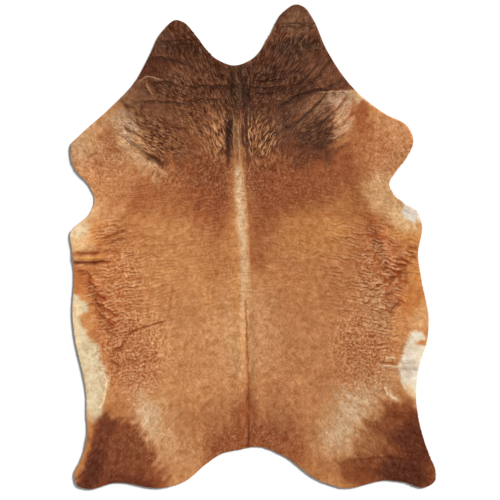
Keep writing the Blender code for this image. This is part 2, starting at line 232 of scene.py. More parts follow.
        [(-9.4, 60), (-6.4, 62), (-5.4, 50), (-4.6, 42), (-9.4, 42)]),
    ("left elbow shade", "straw", 0.6, 5, 1, [(-84, 26), (-74, 22), (-68, 4), (-72, -6), (-86, -8)]),
    ("left elbow cream", "creamStraw", 0.95, 3, 1,
        [(-86, 16), (-79, 14), (-74, 6), (-72, 0), (-80, -2), (-86, 0)]),
    ("left elbow pale", "cream", 0.7, 2, 0.5, [(-86, 17), (-78, 16), (-74, 10), (-76, 4), (-86, 4)]),
    ("left elbow upper pale", "creamStraw", 0.5, 1.8, 0.5,
        [(-80, 10), (-74, 8), (-69, 14), (-70, 22), (-77, 22)]),
    ("left elbow band", "edgeGold", 0.5, 2, 0.8, [(-74, 13), (-68, 12), (-67, 1), (-73, 0)]),
    ("left mark glow", "flankRed", 0.45, 2.5, 1,
        [(-82, -8), (-72, -9), (-66, -22), (-60, -36), (-65, -40), (-73, -24), (-82, -20)]),
    ("left belly inner rust", "flankRed", 0.35, 3, 1,
        [(-74, -34), (-66, -34), (-60, -52), (-59, -66), (-66, -68), (-68, -50)]),
    ("back red", "creaseRed", 0.09, 6, 1, [(-60, 30), (-12, 30), (-12, 17), (-60, 17)]),
    ("right elbow rust", "flankRust", 0.5, 2, 1, [(49, 18), (56, 13), (59, 2), (54, 1), (50, 8)]),
    ("right elbow low gold", "brightGold", 0.65, 2, 0.6,
        [(58, 10), (64, 7.6), (78, 9), (78, 3.6), (60, 3.6)]),
    ("right mark glow", "flankRed", 0.35, 2.5, 1,
        [(62, 3), (70, 2), (68, -8), (67, -24), (60, -27), (60, -14)]),
    ("left belly cream", "bellyCream", 1.0, 0.8, 0.35,
        [(-88, -20), (-81, -21), (-78.6, -22.4), (-77.6, -24.4), (-76, -24.8), (-74.2, -26.8),
         (-74.4, -29.4), (-77.4, -29.8), (-77.9, -32.4), (-76.6, -35.8), (-75, -37.8), (-73.9, -40.8),
         (-72.6, -42.6), (-70, -43.6), (-69.4, -46.8), (-68.6, -49.8), (-68, -53), (-66.8, -55.8),
         (-65.4, -58.2), (-64.8, -61), (-65.2, -64.8), (-66.4, -68.8), (-67.5, -72.4), (-68, -76),
         (-70.6, -80), (-76, -88), (-90, -84)]),
    ("left belly cream shade", "straw", 0.65, 2.5, 0.3,
        [(-84, -46), (-78, -50), (-76, -70), (-79, -84), (-88, -70)]),
    ("left belly cream glow", "creamStraw", 0.5, 1.6, 0.3,
        [(-86, -22), (-77, -27), (-80, -36), (-77, -46), (-86, -50)]),
    ("right elbow straw", "creamStraw", 0.9, 2.5, 1,
        [(60, 19), (66, 20), (80, 20), (80, 6), (72, 6), (66, 8), (60, 13)]),
    ("right elbow white", "whitish", 1.0, 0.9, 0.8,
        [(67.6, 19.6), (80, 21), (80, 12), (69.6, 11.6), (67.8, 15)]),
    ("right belly inner gold", "edgeGold", 0.4, 2, 1,
        [(62.6, -30), (70, -30), (69, -40), (65.4, -47), (64.6, -56), (61.6, -52), (62, -40)]),
    ("right belly cream", "paleCream", 1.0, 0.7, 0.35,
        [(78, -38.8), (74, -37.6), (71, -38.8), (69.6, -42.6), (68.2, -46), (66.3, -49.6), (65.6, -53),
         (65.8, -57.4), (67, -61.2), (69, -65), (71.6, -69), (74.6, -72.5), (86, -70), (86, -47),
         (78.4, -45.4)]),
    ("right edge pale", "creamStraw", 0.55, 1.8, 0.5,
        [(71, -30), (76, -24), (82, -24), (82, -37.6), (73, -37.4)]),
    ("right belly pale", "whitish", 0.5, 1.5, 0.4, [(66.6, -48), (74, -47), (74, -62), (67.4, -60)]),
    ("right belly gold", "creamStraw", 0.6, 1.3, 0.4, [(68.4, -62), (71, -63), (76, -73), (73, -73)]),
    ("right belly notch", "edgeGold", 0.9, 0.45, 0.2,
        [(73.2, -42.4), (84, -41), (84, -44.6), (73.4, -44.4)]),
    ("left belly rust", "rust", 0.45, 5, 1, [(-68, -34), (-50, -34), (-42, -58), (-58, -68)]),
    ("left rump rust", "rust", 0.5, 3, 1,
        [(-66, -69), (-55, -67), (-50, -74), (-54, -80), (-61, -76), (-67, -73)]),
    ("left hock", "hockBrown", 1.0, 3, 1.2,
        [(-80, -84), (-72, -78), (-69, -76), (-62, -76), (-55, -79), (-50, -84), (-47, -91), (-42, -99),
         (-37, -105), (-40, -114), (-84, -114)]),
    ("left hock band", "darkChestnut", 0.75, 2.2, 0.8,
        [(-70, -76), (-63, -77), (-60, -82), (-65, -87), (-66.5, -94), (-66, -101), (-68, -109),
         (-78, -109), (-78, -102), (-74, -96), (-72, -88), (-70.5, -82)]),
    ("left hock edge", "deepChestnut", 0.65, 2.6, 0.8,
        [(-77, -99), (-72, -92), (-68.5, -94), (-69, -103), (-72, -110), (-80, -110)]),
    ("left hock arc", "chestnut", 0.7, 1.7, 0.7,
        [(-62, -81), (-56, -79.5), (-51, -83), (-47.6, -90.5), (-50.6, -92), (-54.4, -87.5), (-60, -85.5)]),
    ("left hock shade", "darkChestnut", 0.28, 4, 0.8, [(-69, -86), (-48, -88), (-46, -106), (-70, -106)]),
    ("left hock low", "darkChestnut", 0.85, 2.4, 0.8, [(-66, -103), (-47, -104), (-43, -111), (-68, -111)]),
    ("left hock rim", "golden", 0.65, 1.1, 0.3,
        [(-78, -72), (-72.4, -76), (-72.2, -84), (-73.6, -92), (-75.6, -97), (-78, -102), (-80.6, -104.5),
         (-88, -104), (-84, -90)]),
    ("right hock", "hockBrown", 1.0, 2.6, 1.2,
        [(66, -68), (62, -71.5), (57, -76), (51.4, -80.7), (49.5, -88), (46, -93.4), (42, -96), (39, -100),
         (40, -107), (45, -112), (86, -115), (86, -97), (78, -79), (74, -71)]),
    ("right hock dark", "darkChestnut", 0.9, 3, 1,
        [(66, -82), (71, -79), (79, -80), (83, -90), (82, -99), (71, -98), (66, -92), (62, -84)]),
    ("right hock low", "deepChestnut", 0.85, 3, 1.2,
        [(56.8, -98), (65, -95.5), (74, -98), (80, -102), (79, -109), (63, -108), (55, -104.5)]),
    ("right hock light", "brown", 0.95, 2.4, 1,
        [(47.7, -85), (58, -84.6), (62, -92), (54, -96), (45, -93.4)]),
    ("right hem low", "chestnut", 0.3, 3, 0.8, [(41, -95.5), (55, -97), (56, -105), (45, -103.4)]),
    ("right hem gold", "golden", 0.55, 1.4, 0.4, [(36, -106.4), (50, -107), (48, -113), (34, -112)]),
    ("right hem", "brown", 0.5, 5, 1, [(8, -94), (40, -95), (44, -106), (24, -108)]),
    ("croup hem", "rustBrown", 0.9, 4, 1,
        [(-20, -85), (-4, -80), (12, -83), (23, -87), (25, -99), (-4, -100), (-24, -99)]),
    ("croup shade right", "chestnut", 0.6, 3, 1,
        [(0, -80), (6, -79), (13, -81), (17, -91), (4, -93), (0, -90)]),
    ("croup shade left", "chestnut", 0.45, 2.5, 1,
        [(-18, -86), (-8, -84), (-3, -88), (-5, -94), (-18, -94)]),
    ("tail root", "rustBrown", 0.9, 3.5, 1, [(-7, -66), (1, -66), (4, -90), (-2, -98), (-9, -90)]),
]

# single marks, creases and lines of hair: name, colour, strength, half width in cm,
# groove depth in mm (minus is a ridge), and the route in cm
coatStrokes = [
    ("notch midline", "black", 0.8, 0.5, 0.8, [(-6, 81), (-5.2, 77), (-4.4, 73), (-4.2, 68), (-3.6, 62)]),
    ("neck dark strand a", "darkUmber", 0.75, 0.45, 0.5,
        [(-3.6, 63), (-3, 58), (-3.4, 52), (-2.6, 46), (-2.4, 39)]),
    ("neck dark strand b", "darkUmber", 0.6, 0.4, 0.5, [(-4.6, 56), (-4.4, 51), (-3.8, 45)]),
    ("neck light strand a", "straw", 0.55, 0.3, -0.3, [(-9, 61), (-8.6, 55), (-8.9, 48), (-8.2, 42)]),
    ("neck light strand b", "straw", 0.6, 0.3, -0.3, [(-6.8, 58), (-6.9, 52), (-6.2, 46), (-6.4, 40)]),
    ("neck light strand c", "strandGold", 0.5, 0.3, -0.3, [(-5.4, 62), (-5.8, 57), (-5.5, 52)]),
    ("midline diagonal", "black", 0.9, 0.7, 0.6, [(-5.2, 72), (-3.4, 70.5), (-1.6, 68.4)]),
    ("midline left", "black", 0.7, 0.6, 0.5, [(-9.4, 80), (-9.6, 75), (-9.8, 71)]),
    ("furrow", "black", 0.85, 1.3, 1.2, [(-11, 57), (-11.4, 52), (-11.6, 47), (-11.4, 43)]),
    ("furrow low", "darkUmber", 0.8, 0.7, 0.8, [(-11.6, 45), (-11.3, 41), (-11.4, 37)]),
    ("furrow core", "black", 1.0, 0.6, 0.8, [(-11, 56.5), (-11.4, 52), (-11.5, 48)]),
    ("spine crease", "rustBrown", 0.9, 0.4, 0.2, [(-3.3, -24), (-2.8, -38), (-2.2, -56), (-2, -70)]),
    ("spine crease low", "deepChestnut", 0.7, 0.5, 0.5, [(-2.1, -65), (-2, -78), (-1.9, -93)]),
    ("spine crease shade", "rustBrown", 0.5, 1.1, 0.2, [(-2.2, -69), (-2.3, -82)]),
    ("spine edge rust", "rustBrown", 0.6, 0.45, 0.3, [(-2.6, 26), (-1.6, 14), (-0.9, 4), (-0.6, -8)]),
    # the right cheek's fold: its dark line is partly the fold's painted shadow over dark hair, and the light
    # band on the ridge below it is partly painted highlight over pale hair
    ("right cheek crease", "black", 0.8, 0.8, 1.2,
        [(12.3, 64.3), (17, 66.8), (22, 69.4), (28.2, 71.2), (35, 71.8)]),
    ("right cheek crease end", "umber", 0.7, 0.5, 0.8, [(34, 71.8), (40, 72), (45, 71.8)]),
    ("right cheek ridge highlight", "haze", 0.4, 0.6, -0.6, [(29, 69.6), (36, 70.4), (46, 70.4)]),
    ("flap left line a", "black", 0.45, 0.45, 0.5, [(-42.3, 93.4), (-33, 93.9), (-24.6, 93.7)]),
    ("flap left line b", "black", 0.45, 0.45, 0.5, [(-43, 91.5), (-33, 91.8), (-25, 91.5)]),
    ("flap left line c", "black", 0.7, 0.45, 0.8,
        [(-47.7, 85.2), (-42.3, 86.1), (-36.8, 84.8), (-30.5, 83), (-27.7, 81.1)]),
    ("flap left light d", "ash", 0.45, 0.5, -0.4, [(-46, 86.6), (-41, 87.2), (-36, 86)]),
    ("flap left light e", "ash", 0.45, 0.4, -0.3, [(-35, 103.6), (-35.4, 98.6)]),
    ("flap left light f", "ash", 0.35, 0.35, -0.3, [(-32.6, 102.6), (-32.2, 98)]),
    ("flap left line g", "black", 0.5, 0.5, 0.6, [(-47, 74), (-41, 75.6), (-34, 73)]),
    ("flap left light h", "paleAsh", 0.5, 0.4, -0.4, [(-48.8, 75.4), (-47.4, 71.8), (-45.6, 69.2)]),
    ("nape line left", "black", 0.75, 0.45, 0.6, [(-31.4, 73), (-20, 73.2), (-9, 73)]),
    ("nape line a", "black", 0.7, 0.45, 0.5, [(0, 78), (8, 78.4), (14, 79.6)]),
    ("nape line b", "black", 0.7, 0.45, 0.5, [(0, 75.4), (7, 75.2), (14, 76.4)]),
    ("nape line c", "black", 0.7, 0.45, 0.5, [(-1, 72.4), (6, 72), (13, 73.2)]),
    ("nape line d", "black", 0.7, 0.45, 0.5, [(0, 69.8), (6, 69.5), (12, 70.4)]),
    ("flap right line a", "black", 0.45, 0.45, 0.5, [(12.7, 101), (20, 101.6), (26.8, 101.3)]),
    ("flap right line b", "black", 0.45, 0.45, 0.5, [(12.7, 99.7), (20, 99.9), (27.7, 99.6)]),
    ("flap right light c", "ash", 0.5, 0.35, -0.3, [(20, 108.6), (20.5, 102.4)]),
    ("flap right light d", "ash", 0.35, 0.3, -0.3, [(23.4, 106), (23.8, 102)]),
    ("flap right line e", "black", 0.7, 0.45, 0.6, [(35, 84.8), (30.5, 78.4), (25, 73.2)]),
    ("flap right line f", "black", 0.7, 0.45, 0.6, [(30, 84), (24.6, 77), (17.6, 71)]),
    ("flap right line g", "black", 0.6, 0.45, 0.5, [(26, 87), (20, 81), (14.5, 78)]),
    ("flap right line h", "black", 0.6, 0.45, 0.6, [(41, 77), (37, 73.6), (33, 72.6)]),
    ("flap right light i", "ash", 0.5, 0.5, -0.4, [(18, 90), (24, 89), (32, 90.4)]),
    ("right crease a", "black", 0.9, 0.45, 1.0,
        [(33.6, 70.3), (31, 66.6), (27.6, 62.9), (23.6, 59.2), (19.7, 56.6), (15.7, 54.6)]),
    ("right crease light", "rust", 0.45, 0.3, -0.3,
        [(32.2, 70), (29.8, 67), (26.6, 63.8), (22.8, 60.4), (19, 57.8), (15.2, 55.8)]),
    ("right crease b", "chestnut", 0.85, 0.4, 0.8, [(42.4, 68.6), (40.1, 65.2), (36.7, 61.2)]),
    ("right crease b low", "black", 0.8, 0.45, 0.9, [(36.7, 61.2), (33.3, 58), (29.9, 55.5)]),
    ("right crease b light", "brown", 0.6, 0.3, -0.3, [(39, 65.4), (35.8, 62), (32.6, 59.2), (29.6, 57)]),
    ("right pale arc", "haze", 0.7, 0.3, -0.3, [(43, 53.8), (40.1, 51.2), (36.7, 49.5), (33.9, 48.7)]),
    ("right rim hair a", "chestnut", 0.5, 0.3, 0.3, [(46, 62), (43, 58.4), (39.6, 55)]),
    ("right rim hair b", "haze", 0.7, 0.3, -0.3, [(45, 63), (42, 59), (38.6, 56)]),
    ("right rim hair c", "haze", 0.6, 0.3, -0.3, [(46.6, 60), (44, 56), (40.6, 53)]),
    ("left wrinkle", "black", 0.6, 0.5, 1.0,
        [(-56, 64.8), (-46.8, 66.2), (-34, 65.2), (-24, 66.6), (-17.3, 67)]),
    ("left arc", "paleAsh", 0.8, 0.4, -0.6, [(-52.3, 74.8), (-49, 76.4), (-46, 77), (-41.4, 75.7)]),
    ("left crease d", "umber", 0.7, 0.5, 0.6, [(-58.2, 53.9), (-54, 51.6)]),
    ("left crease e", "umber", 0.6, 0.45, 0.6, [(-56, 47.5), (-51, 44), (-47, 41.6)]),
    ("left crease g", "darkUmber", 0.85, 0.9, 0.8, [(-48, 42), (-44.4, 40), (-41.6, 38)]),
    ("left pale line a", "umber", 0.5, 0.35, 0.5, [(-58, 60), (-52, 56), (-46, 53)]),
    ("left pale line b", "umber", 0.55, 0.35, 0.5, [(-59, 55), (-53, 51), (-47, 47.6)]),
    ("left pale line c", "umber", 0.5, 0.35, 0.5, [(-59, 51), (-54, 47), (-50, 44.4)]),
    ("left band hair b", "haze", 0.6, 0.3, -0.3, [(-61, 52), (-55.6, 47.6), (-50.6, 43.4)]),
    ("left band hair c", "haze", 0.8, 0.3, -0.3, [(-60, 47.6), (-55, 43), (-49, 38.6), (-46, 34.6)]),
    ("left band hair d", "haze", 0.6, 0.3, -0.3, [(-57, 43.6), (-52, 38), (-49.6, 34.4)]),
    ("left band hair f", "haze", 0.8, 0.3, -0.3, [(-45.6, 38), (-42, 35), (-38.6, 32.6)]),
    ("left crease f", "umber", 0.7, 0.5, 0.6, [(-42.3, 57), (-37, 55), (-31, 53.4)]),
    # the left elbow's pinch fold: painted shade in the troughs above and below it and a painted highlight on
    # the ridge between, over its real grooves and ridge
    ("left elbow upper trough shade", "creaseRed", 0.7, 1.1, 0.8, [(-81, -2.8), (-76, -3), (-70, -2.6)]),
    ("left elbow upper trough shade end", "creaseRed", 0.4, 0.8, 0.5, [(-72, -2.6), (-66, -2), (-61, -2.4)]),
    ("left elbow lower trough shade", "creaseRed", 1.0, 0.7, 1.2,
        [(-81, -7), (-75, -7.3), (-71, -7.2), (-66, -6.8)]),
    ("left elbow lower trough shade core", "deepChestnut", 1.0, 0.5, 0.8, [(-81, -7.2), (-76, -7.5), (-71, -7.3)]),
    ("left elbow ridge highlight", "brightGold", 0.75, 0.5, -0.5, [(-80, -5.3), (-75, -5.4), (-68, -5)]),
    ("elbow streak a", "chestnut", 0.7, 0.6, 0.6, [(-69, 3), (-64, 5.6), (-58, 7.2)]),
    ("elbow streak b", "chestnut", 0.65, 0.6, 0.6, [(-66, 1), (-62, 3.2), (-57, 4.2)]),
    ("elbow streak c", "rust", 0.6, 0.5, 0.5, [(-62, 8.6), (-57, 9.6), (-52, 9.8)]),
    ("elbow streak d", "rust", 0.6, 0.5, 0.5, [(-72, 0.2), (-67, 2.2)]),
    ("left body crease a", "rust", 0.7, 0.4, 0.6, [(-66, 3.2), (-63, 5), (-60, 6.4)]),
    ("left body crease b", "rust", 0.5, 0.35, 0.6, [(-56.8, 4.8), (-49, 4.6)]),
    ("left body crease c", "rust", 0.6, 0.35, 0.6, [(-52.7, -0.2), (-44.5, 0.6), (-34.5, 0.4)]),
    ("left body crease d", "rust", 0.6, 0.35, 0.6,
        [(-68.6, -15.7), (-56.8, -14.3), (-50.4, -14.5), (-39.5, -15)]),
    ("left body crease e", "rust", 0.6, 0.35, 0.6,
        [(-64.3, -21.6), (-60, -23), (-52.3, -20.7), (-42.7, -18.4)]),
    ("left body crease f", "rust", 0.6, 0.35, 0.6, [(-64.3, -26.6), (-56.4, -26.6), (-51, -24.3)]),
    ("left body crease g", "rust", 0.6, 0.35, 0.6, [(-57.3, -28.9), (-49, -28.2), (-42.7, -26.8)]),
    # the left flank's dark red-brown marks and fold lines lie in the troughs of its folds: the hair's own
    # colour together with the troughs' painted shade, over real grooves
    ("left flank mark a", "creaseRed", 0.8, 0.45, 0.4, [(-79.6, -10.6), (-77, -11)]),
    ("left flank mark b", "creaseRed", 0.85, 0.45, 0.5, [(-76, -10.8), (-74.4, -12), (-73.6, -14.2)]),
    ("left flank mark c", "creaseRed", 0.85, 0.5, 0.6, [(-75, -15.8), (-73, -17), (-70.8, -19.2)]),
    ("left flank mark d", "creaseRed", 0.95, 0.85, 0.8, [(-71.6, -20.6), (-69.6, -22), (-67.2, -23.2)]),
    ("left flank mark e", "creaseRed", 0.9, 0.5, 0.6, [(-72, -24), (-69.4, -25.8), (-67.6, -26)]),
    ("left flank mark f", "creaseRed", 0.9, 0.6, 0.7, [(-69.6, -26.4), (-67.4, -28), (-64.8, -28.8)]),
    ("left flank mark g", "creaseRed", 0.85, 0.45, 0.6, [(-66, -28.8), (-63.6, -30.6), (-61.4, -31)]),
    ("left flank mark h", "creaseRed", 0.85, 0.5, 0.6, [(-68.6, -31.6), (-66, -33), (-63.2, -36.6)]),
    ("left flank mark i", "creaseRed", 0.8, 0.45, 0.5, [(-65.6, -32.4), (-63.6, -34.2), (-61, -34.6)]),
    ("left flank mark j", "creaseRed", 0.85, 0.55, 0.5, [(-67.2, -37), (-65, -38.6), (-62.8, -39.8)]),
    ("left flank mark k", "flankRust", 0.6, 0.4, 0.4, [(-60, -35.6), (-57.6, -36.4)]),
    ("left flank mark l", "flankRust", 0.7, 0.5, 0.4, [(-72.4, -28.4), (-70, -30), (-69, -32)]),
    ("left fold lower", "creaseRed", 0.85, 0.7, 0.9, [(-57, -40.4), (-54.6, -38.4), (-52, -37.2)]),
    ("left fold line", "creaseRed", 0.9, 0.4, 0.6,
        [(-53, -37.6), (-48, -36.2), (-43, -34.4), (-39, -33.4)]),
    ("left fold tail", "creaseRed", 0.75, 0.7, 0.8, [(-64, -47.6), (-60, -45.6), (-57.4, -42.6)]),
    ("left mark i", "chestnut", 0.7, 0.9, 0.6, [(-64.8, -51.4), (-60.6, -53.9)]),
    ("left mark j", "rust", 0.6, 0.8, 0.5, [(-58, -51), (-53, -53)]),
    ("left scratch", "rust", 0.75, 0.4, 0.4, [(-36.1, -16.9), (-37.4, -25.6), (-38.7, -33.4)]),
    ("right elbow rim", "golden", 0.8, 0.8, 0, [(74.6, 13), (76, 8), (75.5, 2.5)]),
    ("right elbow line", "chestnut", 0.7, 0.6, 1.0, [(70, -0.4), (74.5, -0.2)]),
    ("right clump a", "flankRust", 0.6, 0.8, 0.4, [(52, 5.4), (57, 5), (60, 4)]),
    ("right dash a", "creaseRed", 0.9, 0.6, 0.5, [(66.6, -5), (68.8, -5.8), (70.4, -7.4)]),
    ("right dash b", "flankRust", 0.8, 0.4, 0.3, [(70.4, -4), (72, -4.6), (73.6, -4.4)]),
    ("right dash c", "creaseRed", 0.95, 0.65, 0.6, [(64.6, -7.6), (67, -8.6), (69.8, -8.9)]),
    ("right dash d", "creaseRed", 0.95, 0.75, 0.7, [(62.6, -10.4), (65, -11.4), (67.6, -11)]),
    ("right dash e", "creaseRed", 0.95, 0.6, 0.7, [(61.8, -13.9), (64.6, -13.3), (66.8, -12.2)]),
    ("right dash f", "flankRust", 0.9, 0.55, 0.5, [(66, -14.9), (67.8, -15.6), (69.8, -15.5)]),
    ("right dash g", "creaseRed", 0.85, 0.5, 0.5, [(62.8, -15), (62.3, -17.2)]),
    ("right dash h", "flankRust", 0.8, 0.45, 0.5, [(58.2, -16.6), (60, -15.6), (62.2, -15.4)]),
    ("right dash i", "flankRust", 0.8, 0.45, 0.5, [(57.8, -19.2), (59.6, -18.4), (61.4, -18.2)]),
    ("right dash j", "creaseRed", 0.8, 0.5, 0.5, [(59.4, -22.2), (61, -21.2), (63.6, -21.2)]),
    ("right dash k", "flankRust", 0.7, 0.4, 0.4, [(58.2, -25), (60.4, -24), (62.4, -24.2)]),
    ("right dash l", "creaseRed", 0.85, 0.45, 0.5, [(62.2, -29.4), (64.4, -26.6), (67.4, -24.6)]),
    ("right dash m", "flankRust", 0.75, 0.4, 0.5, [(64.6, -23), (67.4, -24.8), (70, -26)]),
    ("right dash n", "flankRust", 0.75, 0.45, 0.5, [(56.6, -29.8), (59, -29.4), (61.4, -28)]),
    ("right dash o", "flankRust", 0.65, 0.4, 0.4, [(53.2, -28.8), (54.4, -27), (55.6, -26.2)]),
    ("right dash p", "flankRust", 0.6, 0.4, 0.4, [(54, -10.6), (56.4, -9.4), (58, -10)]),
    ("right dash q", "flankRust", 0.6, 0.4, 0.4, [(55.4, -13.4), (57.2, -12.8), (59, -13.4)]),
    ("right dash light", "creamStraw", 0.7, 0.4, 0, [(58.6, -12), (60.4, -12.4), (62.4, -12.9)]),
    ("right rib line a", "rust", 0.5, 0.3, 0.5, [(23.6, 14), (31, 14.6), (39.5, 14.4)]),
    ("right rib line b", "rust", 0.4, 0.3, 0.4, [(16.8, 5.4), (24, 5.8), (30.5, 5.6)]),
    ("right rib line c", "rust", 0.45, 0.3, 0.4, [(31, 2.2), (36, 2.6), (40, 2.2)]),
    ("right rib line d", "rust", 0.5, 0.3, 0.5, [(41.4, -11), (45, -11.2), (48.6, -12)]),
    ("right ripple g", "rust", 0.5, 0.4, 0.6, [(40, -2.4), (47, -1.6), (56, -3)]),
    ("right ripple h", "rust", 0.5, 0.4, 0.6, [(42, -7.6), (50, -7.4), (58, -9.6)]),
    ("left belly gold", "creamStraw", 0.3, 0.6, 0,
        [(-67.4, -58), (-66.4, -62), (-67.4, -67.6), (-69, -73)]),
    ("right pale hair a", "cream", 0.8, 0.4, 0, [(60, -50.4), (64.5, -50.4)]),
    ("right pale hair b", "cream", 0.8, 0.4, 0, [(57.7, -54.3), (66.8, -54.3)]),
    ("right pale tick", "cream", 0.75, 0.4, 0, [(60, -63.8), (61.4, -66.8)]),
    ("right pale tick end", "cream", 0.8, 0.7, 0, [(61.6, -67), (65, -69.4)]),
    ("right dark between", "chestnut", 0.7, 0.4, 0.5, [(57.3, -52.3), (65, -53)]),
    ("right straw rim", "creamStraw", 0.7, 0.8, 0, [(70, -62), (72, -66), (74, -70)]),
    ("right ripple a", "ash", 0.35, 0.25, 0.5, [(66.8, -53.2), (75.9, -53.2)]),
    ("right ripple b", "ash", 0.35, 0.25, 0.5, [(66.8, -54.5), (75.9, -54.5)]),
    ("right ripple c", "ash", 0.35, 0.25, 0.5, [(66.8, -55.6), (75.9, -55.6)]),
    ("hock crease a", "chestnut", 0.5, 0.4, 0.8, [(59, -74.8), (68, -75.6), (75, -76)]),
    ("hock crease b", "chestnut", 0.5, 0.4, 0.8, [(62, -77.2), (69, -77.6), (76, -78)]),
    ("hock crease c", "deepChestnut", 0.4, 0.6, 0.6, [(46, -96.6), (54, -96.2), (62, -95.6), (76, -97)]),
]

# where dark and light strands show, and how long the hair is there: name, centre and
# half sizes in cm, tilt in degrees, dark strands, light strands, extra hair length in mm
strandZones = [
    ("flaps", -6, 96, 50, 16, 0, 0.45, 0.20, 6),
    ("nape left", -26, 74, 22, 12, 0, 0.82, 0.26, 9),
    ("nape right", 12, 76, 26, 12, 0, 0.82, 0.16, 9),
    ("left pale band", -50, 45, 20, 8, -44, 0.45, 1.00, 8),
    ("left withers", -28, 38, 18, 9, -20, 0.26, 0.20, 6),
    ("spine strands", -4.6, 0, 4.5, 46, 0, 0.10, 0.30, 0),
    ("neck base left", -16, 51, 9, 13, 0, 0.62, 0.95, 12),
    ("neck base right", 3, 49, 10, 12, 0, 0.72, 0.80, 12),
    ("left ripples", -26, 60, 10, 12, 30, 0.70, 0.40, 10),
    ("left shoulder", -43, 51, 18, 9, -35, 0.85, 0.42, 10),
    ("right shoulder", 27, 57, 16, 11, 30, 0.46, 0.22, 8),
    ("right shoulder rim", 40.5, 58, 5.5, 10, 0, 0.42, 0.90, 8),
    ("withers", -6, 40, 34, 7, 0, 0.36, 0.28, 5),
    ("loin", -4, -60, 26, 30, 0, 0.06, 0.16, 0),
    ("left rump", -44, -80, 14, 18, 20, 0.10, 0.30, 0),
    ("right rump", 44, -78, 14, 18, -20, 0.12, 0.34, 0),
    ("left hock", -64, -96, 16, 16, 30, 0.20, 0.06, 0),
    ("right hock", 64, -94, 16, 18, -30, 0.20, 0.06, 0),
]

# where fine creases show, both in the skin's relief and as the pattern's painted shade and highlight: name,
# centre and half sizes in cm, tilt in degrees, strength
wrinkleZones = [
    ("left flank edge", -68, -26, 20, 6, -66, 0.85),
    ("left flank", -60, -22, 13, 26, 0, 0.68),
    ("left ribs", -47, -12, 20, 26, 0, 0.34),
    ("left stifle", -55, -52, 12, 13, 0, 0.45),
    ("left elbow folds", -65, 6, 10, 7, 20, 0.70),
    ("left shoulder lines", -50, 22, 16, 10, 0, 0.22),
    ("right flank edge", 65, -12, 19, 6, 62, 0.85),
    ("right flank", 56, -14, 12, 28, 0, 0.80),
    ("right ribs", 43, -4, 14, 26, 0, 0.45),
    ("right stifle", 54, -46, 14, 18, 0, 0.45),
    ("right shoulder lines", 40, 22, 20, 10, 0, 0.24),
    ("barrel lines", -4, 4, 60, 34, 0, 0.20),
]

# where rusty blotches and pale curls show, in the same way
blotchZones = [
    ("left belly", -54, -46, 16, 24, 0, 1.00),
    ("right belly", 50, -44, 16, 26, 0, 0.85),
    ("left side", -58, -16, 12, 24, 0, 0.60),
    ("right side", 56, -12, 12, 24, 0, 0.70),
    ("loins", -4, -50, 50, 36, 0, 0.26),
    ("barrel", -4, -4, 60, 34, 0, 0.18),
    ("shoulder", -4, 28, 56, 14, 0, 0.34),
    ("rump", -4, -88, 50, 14, 0, 0.28),
    ("neck", -6, 64, 46, 26, 0, 0.14),
    ("left leg", -66, 38, 16, 20, 0, 0.50),
    ("right leg", 62, 42, 16, 24, 0, 0.42),
]


def ease(low, high, value):
    t = np.clip((value - low) / (high - low), 0, 1)
    return t * t * (3 - 2 * t)


def makeGrid():
    low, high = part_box("hide")
    cell = fieldGrid["cell"]
    margin = fieldGrid["margin"]
    across = np.arange(low.x - margin, high.x + margin, cell)
    along = np.arange(low.y - margin, high.y + margin, cell)
    return np.meshgrid(across, along)


gridX, gridY = makeGrid()


def blurred(field, size):
    rows, columns = field.shape
    fy = np.fft.fftfreq(rows, fieldGrid["cell"])[:, None]
    fx = np.fft.rfftfreq(columns, fieldGrid["cell"])[None, :]
    soft = np.exp(-2 * (math.pi * size) ** 2 * (fx * fx + fy * fy))
    return np.fft.irfft2(np.fft.rfft2(field) * soft, s=field.shape)


def lumps(seed, size):  # blurred white noise of this grain in metres, spread 1
    random = np.random.default_rng(fieldGrid["seed"] * 100 + seed)
    field = blurred(random.standard_normal(gridX.shape), size)
    return field / field.std()


def reading(field, x, y):  # a field's value at any place
    column = np.clip((x - gridX[0, 0]) / fieldGrid["cell"], 0, field.shape[1] - 1.001)
    row = np.clip((y - gridY[0, 0]) / fieldGrid["cell"], 0, field.shape[0] - 1.001)
    c = column.astype(int)
    r = row.astype(int)
    fc = column - c
    fr = row - r
    if field.ndim == 3:
        fc = fc[..., None]
        fr = fr[..., None]
    lower = field[r, c] * (1 - fc) + field[r, c + 1] * fc
    upper = field[r + 1, c] * (1 - fc) + field[r + 1, c + 1] * fc
    return lower * (1 - fr) + upper * fr


combing = {
    "spine": -0.025,  # metres, where the hair parts
    "partWidth": 0.02,
    "bodySpread": [(0, 0), (0.04, 0.12), (0.2, 0.45), (0.45, 0.75), (0.8, 0.95)],  # metres out, radians
    "neckSpread": [(0, 0), (0.03, 0.20), (0.12, 0.42), (0.3, 0.60), (0.6, 0.60)],
    "neckStart": (0.20, 0.50),  # metres up the hide over which the body's lie turns to the neck's
    "strandLag": 0.1,  # metres further up that the drawn strands turn
    "shoulderSide": (0.14, 0.30),  # metres out from the spine over which the shoulder starts
    "shoulderEnd": (0.70, 0.86),
    "wave": 0.22,  # radians of stray
    "waveGrain": 0.030,
    "waveOnBody": 0.35,  # share of the neck's stray
}


def spreadAt(pairs, away):
    return np.interp(away, [a for a, _ in pairs], [b for _, b in pairs])


waveField = lumps(1, combing["waveGrain"])


def hairDirection(x, y):
    side = x - combing["spine"]
    away = np.abs(side)
    body = spreadAt(combing["bodySpread"], away)
    neck = -spreadAt(combing["neckSpread"], away)
    mix = ease(*combing["neckStart"], y)
    angle = (body * (1 - mix) + neck * mix) * np.tanh(side / combing["partWidth"])
    stray = combing["waveOnBody"] + (1 - combing["waveOnBody"]) * mix
    angle = angle + combing["wave"] * stray * reading(waveField, x, y)
    return np.sin(angle), -np.cos(angle)


